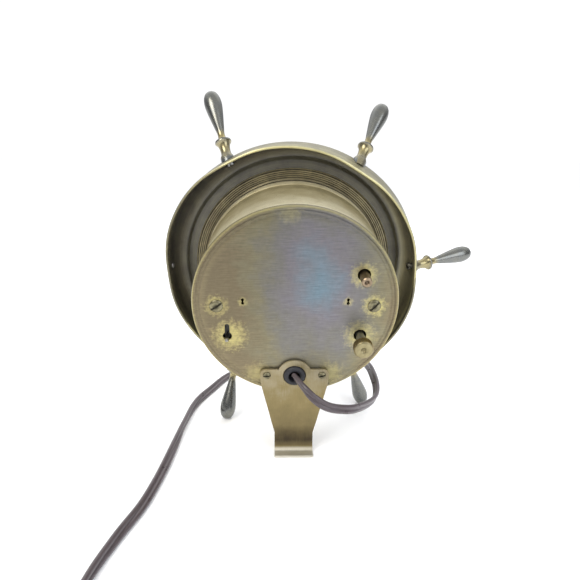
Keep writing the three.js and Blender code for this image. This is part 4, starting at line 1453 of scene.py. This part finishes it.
@dataclass(frozen=True)
class SlottedScrew:
    """A domed brass screw with a straight slot. Its seat faces +Y."""

    radius: float
    shank: float
    length: float
    height: float = 1.1

    def mesh(self) -> Mesh:
        """Turns the screw without its slot.

        Returns:
            The screw's mesh.
        """
        r, h = self.radius, self.height
        profile = [
            (0, h, 0.5), (r * 0.5, h * 0.9, 0.5), (r * 0.86, h * 0.58, 0.55), (r, h * 0.12, 0.35),
            (r, 0, 0.2),
        ]
        profile += [(self.shank, 0, 0.3), (self.shank, -self.length, 0.3), (0, -self.length, 0.3)]
        return turned(profile, 48)

    def cut(self, name: str, place: Matrix, turn: float, material: Material) -> Piece:
        """Makes the screw and saws its slot.

        Args:
            name: The piece's name.
            place: From the screw's millimetres to the frame's metres.
            turn: The slot's angle, in radians.
            material: The screw's finish.

        Returns:
            The piece.
        """
        screw = settle(name, self.mesh(), place, material, 30)
        groove = block((self.radius * 3, 1.2, self.radius * 0.26), (0, self.height, 0))
        bmesh.ops.rotate(groove, verts=groove.verts, matrix=Matrix.Rotation(turn, 3, "Y"))
        return carved(screw, [groove], place)


@dataclass
class BackPlate:
    """The grey back plate with its holes, screws and cord grommet."""

    finishes: Finishes

    @staticmethod
    def halos() -> tuple[Quad, ...]:
        """Where the lacquer is rubbed through: x, z, reach in millimetres and strength."""
        return (
            (*STEM, 5.6, 0.8), (STEM[0], -STEM[1], 7.0, 0.6), (35.4, -18.0, 7.4, 0.75),
            (POST, 0.0, 4.9, 0.75), (-POST, 0.0, 5.0, 0.95), (*SLOTS, 2.2, 0.5),
            (-SLOTS[0], SLOTS[1], 2.2, 0.5), (21.0, CORD_HOLE, 6.0, 0.35), (-21.0, CORD_HOLE, 6.0, 0.35),
            (3.0, 52.0, 5.0, 0.25),
        )

    def plate(self) -> Piece:
        """Presses the plate with its doubled rolled edge and pierces it.

        Returns:
            The plate.
        """
        face = [(0, 0, 0), (47.5, 0, 0), (50.3, 0, 0.05)]
        groove = [(50.7, -0.22, 0), (51.3, -0.22, 0), (51.8, 0.12, 0.05), (52.4, 0.12, 0), (52.8, 0, 0)]
        # The roll's crest carries a bright tone, which is a painted highlight.
        roll = [
            (53.2, 0.42, 0), (54.0, 0.62, 0.1), (54.7, 0.4, 0.55), (PLATE_R, -0.3, 0.4),
            (PLATE_R, -2.5, 0.25),
        ]
        inside = [(53.6, -2.5, 0), (53.6, -1.2, 0), (0, -1.2, 0)]
        mesh = turned([*face, *groove, *roll, *inside], ROUND)
        plate = settle("pressed_back_plate", mesh, STAND.matrix, self.finishes["grey_patina_brass"])
        x, z = KEYHOLE
        slide, half = 6.2, 1.3  # how far the keyhole's slot runs up, and half its width
        holes = [
            *(rod(3.5, -2, 2, STEM[0], up) for up in (STEM[1], -STEM[1])),
            rod(2.5, -2, 2, x, z),
            block((2 * half, 6, slide + 0.2), (x, 0, z + (slide + 0.2) / 2)),
            rod(half, -2, 2, x, z + slide),
            *(rod(1.9, -2, 2, side * POST, 0) for side in (1, -1)),
            rod(4.9, -2, 2, 0, CORD_HOLE),
            *(rod(1.3, -2, 2, side * LEG_SCREW[0], LEG_SCREW[1]) for side in (1, -1)),
        ]
        for side in (-SLOTS[0], SLOTS[0]):
            holes += [rod(0.85, -2, 2, side, up, 20) for up in (1.5, 3.6)]
            holes.append(block((0.9, 4, 2), (side, 0, SLOTS[1])))
        carved(plate, holes, STAND.matrix)
        return mounted(plate, Body.CASE, Slot.PATINA, "back_plate")

    def fittings(self) -> None:
        """Adds the two screws and the rubber grommet."""
        for side, sign, turn in (("left", -1, 0.8), ("right", 1, 0.6)):
            place = STAND.matrix @ Matrix.Translation((sign * POST, 0.3, 0))
            screw = SlottedScrew(3.6, 1.5, 11)
            piece = screw.cut(f"back_screw_{side}", place, turn, self.finishes["oiled_screw_brass"])
            mounted(piece, Body.CASE, Slot.AGED_BRASS, f"plate_screw_{side}")
        head = [(3.1, 3.1, 0), (3.9, 3.8, 0), (5.3, 3.6, 0), (6.1, 2.7, 0), (6.1, 0.2, 0)]
        neck = [(4.6, 0.2, 0), (4.6, -1.5, 0), (5.8, -1.5, 0), (5.8, -3.0, 0), (3.1, -3.0, 0)]
        mesh = turned(softened([*head, *neck], 0.6, closed=True), 64)
        place = STAND.matrix @ Matrix.Translation((0, 0, CORD_HOLE))
        grommet = settle("rubber_grommet", mesh, place, self.finishes["moulded_black_rubber"], 60)
        mounted(grommet, Body.CASE, Slot.RUBBER, "cord_grommet")

    def build(self) -> None:
        """Makes the plate and its fittings."""
        self.plate()
        self.fittings()


@dataclass
class BracketLeg:
    """The folded sheet-brass leg that props the clock, screwed on round the cord."""

    finishes: Finishes
    thickness: float = 1.3
    gap: float = 0.8
    bend_from: float = -66.0  # below this the sheet is no longer flat
    toe: float = 10.0
    drop: float = 97.46  # from the dial's axis down to the surface, in the plate's plane
    waist: float = 11.4  # half the width of the strip below its taper

    def floor_line(self, y: float) -> Pair:
        """The sheet's middle where it lies on the surface, at a distance behind the plate."""
        half = self.thickness / 2
        return y - half * math.sin(LEAN), y * math.tan(LEAN) - self.drop + half * math.cos(LEAN)

    def middle_line(self) -> list[Pair]:
        """The bent sheet's middle as y and z, down from where it stops being flat.

        Returns:
            Its points, from the top down.
        """
        m = self.gap + self.thickness / 2
        bent = [
            (m, self.bend_from), (m, -70), (m, -74), (m - 0.5, -80), (m - 1, -86), (m - 0.6, -91),
            (m + 0.7, -94.4),
        ]
        ends = [self.floor_line(y) for y in (4.5, 7.25, self.toe)]
        knots = [Vector((y, z, 0, 0)) for y, z in (*bent, *ends)]
        return [(v.x, v.y) for v in flowing(knots, 0.7)]

    def half_width(self, z: float) -> float:
        """Half the leg's width at a height below the axis: its edges spread above -84 in a shallow curve."""
        up = max(0.0, z + 84)
        return self.waist + 0.205 * up + 0.0003 * up**2

    def outline(self, end: float) -> Outline:
        """The sheet laid flat: ears, the rise over the cord hole, and the strip down to the toe.

        Args:
            end: Height of the toe's end, laid flat.

        Returns:
            The outline's x and z.
        """
        start, rise, steps = math.radians(24.1), 9.8, 24
        arch = [start + (math.pi - 2 * start) * i / steps for i in range(steps + 1)]
        strip = [(11.0, end), (self.waist, end + 0.6)] + [(self.half_width(z), z) for z in range(-84, -65, 3)]
        ear = [
            (18.5, -51), (18.9, -49), (19.3, -44.5), (19.3, -41.9), (19, -40.6), (18.2, -39.6),
            (16.9, -39), (10.6, -39),
        ]
        over = [(rise * math.cos(a), CORD_HOLE + rise * math.sin(a)) for a in arch]
        return [*strip, *ear, *over, *((-x, z) for x, z in reversed([*strip, *ear]))]

    def build(self) -> None:
        """Cuts the flat sheet, folds it and screws it on."""
        line = self.middle_line()
        runs = [0.0]
        for a, b in zip(line, line[1:]):
            runs.append(runs[-1] + math.dist(a, b))
        end = self.bend_from - runs[-1]
        flat = sheet([(x, self.gap, z) for x, z in self.outline(end)], (0, self.thickness, 0))
        unmoved = Matrix.Identity(4)
        leg = settle("folded_bracket_leg", flat, unmoved, self.finishes["brushed_golden_brass"])
        holes = [rod(6.4, -1, 4, 0, CORD_HOLE, 96)]
        holes += [rod(1.4, -1, 4, side * LEG_SCREW[0], LEG_SCREW[1]) for side in (1, -1)]
        carved(leg, holes, unmoved)
        mesh = bmesh.new()
        mesh.from_mesh(leg.data)
        for cut in [self.bend_from - run for run in runs[1:-1]] + list(range(-62, -45, 4)):
            every = [*mesh.verts, *mesh.edges, *mesh.faces]
            bmesh.ops.bisect_plane(mesh, geom=every, plane_co=(0, 0, cut), plane_no=(0, 0, 1), dist=1e-4)
        tone = mesh.verts.layers.float.get("tone") or mesh.verts.layers.float.new("tone")
        for vert in mesh.verts:
            vert[tone] = self.tone(vert.co.z)
            if vert.co.z < self.bend_from:
                self.fold(vert, line, runs)
        mesh.transform(STAND.matrix)
        bmesh.ops.recalc_face_normals(mesh, faces=mesh.faces)
        mesh.to_mesh(leg.data)
        mesh.free()
        bevelled(leg, 0.22)
        mounted(leg, Body.CASE, Slot.GOLDEN, "bracket_leg")
        for side, sign, turn in (("left", -1, 0.3), ("right", 1, 0.1)):
            place = STAND.matrix @ Matrix.Translation((sign * LEG_SCREW[0], 2.25, LEG_SCREW[1]))
            screw = SlottedScrew(2.2, 1, 5.5, 1.0)
            piece = screw.cut(f"leg_screw_{side}", place, turn, self.finishes["oiled_screw_brass"])
            mounted(piece, Body.CASE, Slot.AGED_BRASS, f"bracket_screw_{side}")

    def tone(self, z: float) -> float:
        """How bright the sheet is at a height of its flat pattern: painted shade at the bend, painted
        reflection at the toe.

        Args:
            z: The height.

        Returns:
            The tone, up to 1.
        """
        # A painted reflection brightens the toe, and painted shade darkens the bend.
        toe = [(-104, 1.0), (-97, 0.95), (-95, 0.75)]
        stops = [*toe, (-93.5, 0.25), (-90, 0.02), (-86, 0.1), (-78, 0.36), (-62, 0.48), (-40, 0.6)]
        for (z0, t0), (z1, t1) in zip(stops, stops[1:]):
            if z <= z1:
                return t0 + (t1 - t0) * max(0.0, (z - z0) / (z1 - z0))
        return stops[-1][1]

    def fold(self, vert: bmesh.types.BMVert, line: Sequence[Pair], runs: Sequence[float]) -> None:
        """Moves a point of the flat sheet onto the bent middle line.

        Args:
            vert: The point.
            line: The bent middle line.
            runs: How far along it each of its points is.
        """
        run = self.bend_from - vert.co.z
        i = next((k for k in range(len(runs) - 1) if runs[k + 1] >= run - 1e-4), len(runs) - 2)
        share = min(1.0, (run - runs[i]) / (runs[i + 1] - runs[i]))
        a, b = Vector(line[i]), Vector(line[i + 1])
        before = Vector(line[max(i - 1, 0)])
        after = Vector(line[min(i + 2, len(line) - 1)])
        way = ((b - before) * (1 - share) + (after - a) * share).normalized()
        here = a.lerp(b, share)
        off = vert.co.y - self.gap - self.thickness / 2
        vert.co.y = here.x - way.y * off
        vert.co.z = here.y + way.x * off


@dataclass(frozen=True)
class Handle:
    """One turned handle, named by the dial hour it points to."""

    hour: int
    station: float  # degrees round the rim
    swing: float  # degrees it is turned from straight out
    cant: float  # degrees it leans forward

    def foot(self) -> Vector:
        """Where its axis meets the rim.

        Returns:
            The point.
        """
        seat = math.radians(self.station)
        radius = RIM_R + rim_shift(seat, HANDLE_DEPTH)
        return Vector((radius * math.cos(seat), -HANDLE_DEPTH, radius * math.sin(seat)))

    def axis(self) -> Vector:
        """The way it points."""
        aim, lean = math.radians(self.station + self.swing), math.radians(self.cant)
        return Vector((math.cos(lean) * math.cos(aim), -math.sin(lean), math.cos(lean) * math.sin(aim)))


@dataclass
class Handles:
    """The five handles left of six, each held by a slotted screw from inside the rim."""

    finishes: Finishes
    each: tuple[Handle, ...] = (
        Handle(1, 60, 11.3, 36.7),
        Handle(11, 120, 1.7, 43.1),
        Handle(9, 180, -4.2, 22.1),
        Handle(7, 240, 12.8, 4.5),
        Handle(5, 300, -20, -26),
    )

    def profile(self) -> list[Triple]:
        """A handle's turned outline: foot, waist, collar, neck and swelling grip.

        Returns:
            The outline's points, foot first.
        """
        rough = [
            (0, -4, 0.7), (3.9, -4, 0.7), (3.9, 0.6, 0.65), (3.55, 1.4, 0.6), (3.0, 2.4, 0.65),
            (2.8, 4.0, 0.75), (2.9, 6.0, 0.8), (3.25, 7.8, 0.8), (3.9, 9.3, 0.75), (4.7, 10.1, 0.6),
            (4.75, 10.6, 0.4), (4.6, 11.1, 0.25), (3.5, 11.4, 0.3), (2.7, 12.3, 0.7), (2.2, 13.4, 0.85),
            (2.0, 14.8, 0.8), (2.1, 16.6, 0.6),
        ]
        grip = [
            (2.6, 19), (3.1, 21.8), (3.65, 24.8), (4.2, 28), (4.7, 31.2), (5.05, 34), (5.1, 36),
            (4.9, 38.2), (4.4, 40.2),
        ]
        grip += [(3.6, 41.8), (2.4, 42.9), (1.1, 43.5), (0, 43.6)]
        return [*rough, *((r, h, 0.32) for r, h in grip)]

    def rim_solid(self) -> Mesh:
        """The wheel's outside as a solid, to fit each foot to."""
        turn = list(reversed(corner(1.15, 0)))
        return turned([(0, -60, 0), (60, -61.2, 0), *turn, (76.15, -43, 0), (0, -43, 0)], 144, untrue)

    def build(self) -> None:
        """Turns the handles and sets their screws."""
        for one in self.each:
            turn = Vector((0, 1, 0)).rotation_difference(one.axis()).to_matrix().to_4x4()
            place = STAND.matrix @ Matrix.Translation(one.foot()) @ turn
            mesh = turned(self.profile(), 64)
            handle = settle(f"turned_handle_{one.hour}", mesh, place, self.finishes["worn_nickel"], 50)
            carved(handle, [self.rim_solid()], STAND.matrix)
            mounted(handle, Body.CASE, Slot.NICKEL, f"handle_at_{one.hour}")
            self.screw(one)

    def screw(self, one: Handle) -> None:
        """Sets one handle's screw, with its head inside the wall.

        Args:
            one: The handle.
        """
        angle = math.radians(one.station)
        wall = WALL + rim_shift(angle, HANDLE_DEPTH) - 1.4  # the head's flat underside bridges the curve
        face = wall - 1.8
        profile = [(0, face, 0.5), (2.1, face, 0.5), (2.5, wall - 1.4, 0.6), (2.5, wall - 0.05, 0.3)]
        profile += [(1.5, wall, 0.3), (1.5, wall + 4.5, 0.3), (0, wall + 4.5, 0.3)]
        mesh = radial(turned(profile, 40), angle)
        screw = settle(f"handle_bolt_{one.hour}", mesh, STAND.matrix, self.finishes["turned_steel"])
        groove = radial(block((8, 1.6, 0.8), (0, face, 0)), angle)
        carved(screw, [groove], STAND.matrix)
        mounted(screw, Body.CASE, Slot.STEEL, f"handle_screw_at_{one.hour}")


@dataclass
class Controls:
    """The two stems behind the plate, the setting knob and the alarm pin."""

    finishes: Finishes

    def lathed(
        self, name: str, profile: Profile, at: Pair, finish: str, body: Body, slot: Slot, *nodes: str
    ) -> Piece:
        """Turns a small piece about its own axis along Y.

        Args:
            name: The piece's name.
            profile: Its outline.
            at: Its axis, x and z in the clock.
            finish: Its material.
            body: The body it turns with.
            slot: The record's slot.
            nodes: The CAD nodes it stands for.

        Returns:
            The piece.
        """
        place = STAND.matrix @ Matrix.Translation((at[0], 0, at[1]))
        return mounted(
            settle(name, turned(profile, 64), place, self.finishes[finish], 35), body, slot, *nodes
        )

    def build(self) -> None:
        """Makes the stems, the knob with its knurl, and the pin."""
        x, z = STEM
        alarm = [
            (0, 8.9, 0.2), (0.7, 9.1, 0.2), (1.3, 9.9, 0.6), (2.2, 10, 0.7), (2.7, 9.5, 0.6),
            (2.7, 1.6, 0.35),
        ]
        alarm += [(2.4, 1, 0.3), (2.4, -54.5, 0.4), (0, -54.5, 0.4)]
        self.lathed(
            "alarm_stem",
            alarm,
            (x, z),
            "copper_flashed_steel",
            Body.ALARM_SETTING,
            Slot.COPPER,
            "alarm_set_stem",
        )
        setting = [(0, 13.6, 0.5), (2.4, 13.6, 0.5), (2.4, -45.8, 0.4), (0, -45.8, 0.4)]
        self.lathed(
            "setting_stem", setting, (x, -z), "turned_steel", Body.HAND_SETTING, Slot.STEEL, "hand_set_stem"
        )
        knob = [
            (0, 15.1, 0.25), (1.0, 15.2, 0.3), (1.5, 15.7, 0.6), (2.1, 16, 0.55), (4.3, 16, 0.6),
            (4.8, 15.7, 0.45),
        ]
        knob += [(5.05, 15.3, 0.6), (5.05, 10.9, 0.35), (4.7, 10.3, 0.3), (4.2, 10.2, 0.3)]
        knob += [(2.7, 10.2, 0.2), (2.7, 13.9, 0.2), (0, 13.9, 0.2)]  # the bore that takes the stem
        self.lathed(
            "setting_knob",
            knob,
            (x, -z),
            "handled_brass",
            Body.HAND_SETTING,
            Slot.AGED_BRASS,
            "hand_set_knob",
        )
        knurl = Repeated("setting_knob_knurl", 40, 5.02, (0.36, 0.4, 3.9)).mesh(
            self.finishes["machined_brass"]
        )
        knurl.data.transform(
            STAND.matrix @ Matrix.Translation((x, 13.1, -z)) @ Matrix.Rotation(math.pi / 2, 4, "X")
        )
        mounted(knurl, Body.HAND_SETTING, Slot.AGED_BRASS)
        head = [(0, 5.2, 0.6), (0.7, 5.05, 0.6), (1.1, 4.4, 0.5), (1.1, 3.6, 0.4)]
        pin = turned([*head, (0.95, 3, 0.4), (0.95, -3.5, 0.3), (0, -3.5, 0.3)], 32)
        x, z = KEYHOLE
        bmesh.ops.translate(pin, verts=pin.verts, vec=(x, 0, z))
        strip = block((6, 1, 10), (x, -3.5, z + 1))  # the lever that it stands on, behind the plate
        lever = joined([pin, strip])
        lever = settle("alarm_pin", lever, STAND.matrix, self.finishes["turned_steel"])
        mounted(lever, Body.ALARM_SWITCH, Slot.STEEL, "alarm_lever")


# ---------- dial ----------
@dataclass(frozen=True)
class Hand:
    """One flat hand with its hub, pointing up before it is turned."""

    node: str
    name: str
    body: Body
    outline: Outline  # half widths and heights
    hub: float
    bore: float
    depth: float
    degrees: float  # clockwise from twelve as the reader sees it
    finish: str
    slot: Slot
    thickness: float = 0.5

    def build(self, finishes: Finishes) -> None:
        """Cuts the hand from sheet and bushes it.

        Args:
            finishes: Every material.
        """
        edge = [(w, z) for w, z in self.outline] + [(-w, z) for w, z in reversed(self.outline)]
        front = -self.depth - self.thickness
        pointer = sheet([(x, front, z) for x, z in edge], (0, self.thickness, 0))
        proud = 0.08  # the hub stands this far out of the sheet on each side
        hub = rod(self.hub, front - proud, -self.depth + proud)
        place = STAND.matrix @ Matrix.Rotation(math.radians(self.degrees), 4, "Y")
        hand = settle(self.name, joined([pointer, hub]), place, finishes[self.finish])
        carved(hand, [rod(self.bore, -self.depth - 3, -self.depth + 3, sides=32)], place)
        mounted(hand, self.body, self.slot, self.node)


@dataclass
class Dial:
    """The cream dial with its numerals, scales and hands."""

    finishes: Finishes
    front: float = 61.62  # depth of the print on the enamel
    numeral_ring: float = 36.6
    numeral_size: float = 10.0

    def flat(self) -> Matrix:
        """From a drawing in XY, as the reader sees it, to the dial."""
        return STAND.matrix @ Matrix.Translation((0, -self.front, 0)) @ Matrix.Rotation(math.pi / 2, 4, "X")

    def numerals(self) -> None:
        """Prints the twelve numerals, upright."""
        printed = bmesh.new()
        for hour in range(1, 13):
            text = bpy.data.curves.new(f"hour_{hour}", "FONT")
            text.body = str(hour)
            text.size = self.numeral_size
            text.align_x = "CENTER"
            text.align_y = "CENTER"
            text.offset = 0.05
            holder = bpy.data.objects.new(f"hour_{hour}", text)
            bpy.context.scene.collection.objects.link(holder)
            bpy.context.view_layer.update()
            graph = bpy.context.evaluated_depsgraph_get()
            data = bpy.data.meshes.new_from_object(holder.evaluated_get(graph))
            turn = math.radians(30 * hour)
            place = (self.numeral_ring * math.sin(turn), self.numeral_ring * math.cos(turn), 0)
            data.transform(Matrix.Translation(place))
            printed.from_mesh(data)
            bpy.data.objects.remove(holder)
            bpy.data.curves.remove(text)
            bpy.data.meshes.remove(data)
        numerals = settle("dial_numerals", printed, self.flat(), self.finishes["black_paint"])
        mounted(numerals, Body.CASE, Slot.BLACK)

    def scales(self) -> None:
        """Prints the minute marks, the hour marks and the small alarm scale."""
        scales = [
            Repeated("minute_marks", 60, 46.4, (2.0, 0.5, 0.03), skip=5),
            Repeated("hour_marks", 12, 45.8, (3.2, 1.3, 0.03)),
            Repeated("alarm_marks", 48, 20.0, (1.4, 0.34, 0.03), skip=4),
            Repeated("alarm_hour_marks", 12, 20.4, (2.4, 0.6, 0.03)),
        ]
        for scale in scales:
            piece = scale.mesh(self.finishes["black_paint"])
            piece.data.transform(self.flat())
            mounted(piece, Body.CASE, Slot.BLACK)

    def hands(self) -> None:
        """Fits the four hands."""
        hour = [(0.9, -7), (1.2, 0), (1.2, 12), (2.2, 15), (3.2, 20), (2.2, 25), (0.3, 31)]
        minute = [(0.8, -9), (1, 0), (1, 24), (1.7, 28), (2.2, 32), (1.4, 38), (0.3, 44)]
        seconds = [(1.2, -15), (1.0, -6), (0.4, 0), (0.25, 43)]
        alarm = [(0.6, -4), (0.6, 12), (1.6, 14), (0.3, 21)]
        painted = ("black_paint", Slot.BLACK)
        red = ("red_paint", Slot.RED)
        for hand in (
            Hand("alarm_hand", "alarm_pointer", Body.ALARM_TIME, alarm, 5.2, 3.7, 62, 180, *red),
            Hand("hour_hand", "hour_pointer", Body.HOUR, hour, 4.4, 2.8, 63.2, 305, *painted),
            Hand("minute_hand", "minute_pointer", Body.MINUTE, minute, 3.4, 1.9, 64.5, 60, *painted),
            Hand("seconds_hand", "seconds_pointer", Body.SECONDS, seconds, 2.2, 0.9, 66, 200, *painted, 0.4),
        ):
            hand.build(self.finishes)

    def build(self) -> None:
        """Makes the dial's ring and print, fits the hands and dresses the plate."""
        ring = turned([(51.7, -61.9, 0.3), (51.7, -68.2, 0.4), (49.4, -68.2, 0.7), (48.4, -61.9, 0.5)], 144)
        piece = settle("reflector_ring", ring, STAND.matrix, self.finishes["polished_brass"])
        mounted(piece, Body.CASE, Slot.BRIGHT, "dial_ring")
        self.finishes.dress("cream_enamel", "dial_plate")
        self.numerals()
        self.scales()
        self.hands()


@dataclass
class Movement:
    """The wheels, plates and motor inside, which keep their CAD shapes."""

    finishes: Finishes

    def build(self) -> None:
        """Dresses every piece of the movement."""
        pillars = [f"movement_pillar_{i}" for i in range(1, 5)]
        wheels = ["seconds_wheel", "setting_wheel", "motion_wheel", "hour_wheel", "alarm_wheel"]
        gears = ["hand_set_gear", "alarm_set_gear", "rotor_bridge"]
        plates = ["movement_back_plate", "movement_front_plate"]
        self.finishes.dress("machined_brass", *plates, *pillars)
        self.finishes.dress("cut_wheel_brass", *wheels, *gears)
        steel = [
            "case_post_left", "case_post_right", "motor_core", "rotor", "buzzer_reed", "seconds_arbor",
            "minute_arbor",
        ]
        self.finishes.dress("machined_steel", *steel)
        self.finishes.dress("varnished_cloth", "motor_coil")
        LOG.info("movement")


def flowing(knots: Sequence[Vector], spacing: float) -> list[Vector]:
    """A smooth centripetal curve through four-dimensional knots.

    Args:
        knots: What the curve passes through.
        spacing: About how far apart its samples are.

    Returns:
        The samples.
    """
    samples = []
    for i in range(len(knots) - 1):
        a, b, c, d = knots[max(i - 1, 0)], knots[i], knots[i + 1], knots[min(i + 2, len(knots) - 1)]
        steps = max(2, round((c.xyz - b.xyz).length / spacing))
        samples += [MainsCord.between(a, b, c, d, k / steps) for k in range(steps)]
    return [*samples, knots[-1]]


def main() -> None:
    """Builds the deck clock in order."""
    logging.basicConfig(level=logging.INFO, format="%(message)s")
    studio = Studio()
    studio.build()
    finishes = Finishes(BackPlate.halos())
    finishes.build()
    cord = MainsCord()
    piece = cord.build(finishes)
    plug = Plug().build(finishes)
    cord.declare()
    WheelCase(finishes).build()
    BackPlate(finishes).build()
    BracketLeg(finishes).build()
    Handles(finishes).build()
    Controls(finishes).build()
    Dial(finishes).build()
    Movement(finishes).build()


if __name__ == "__main__":
    main()
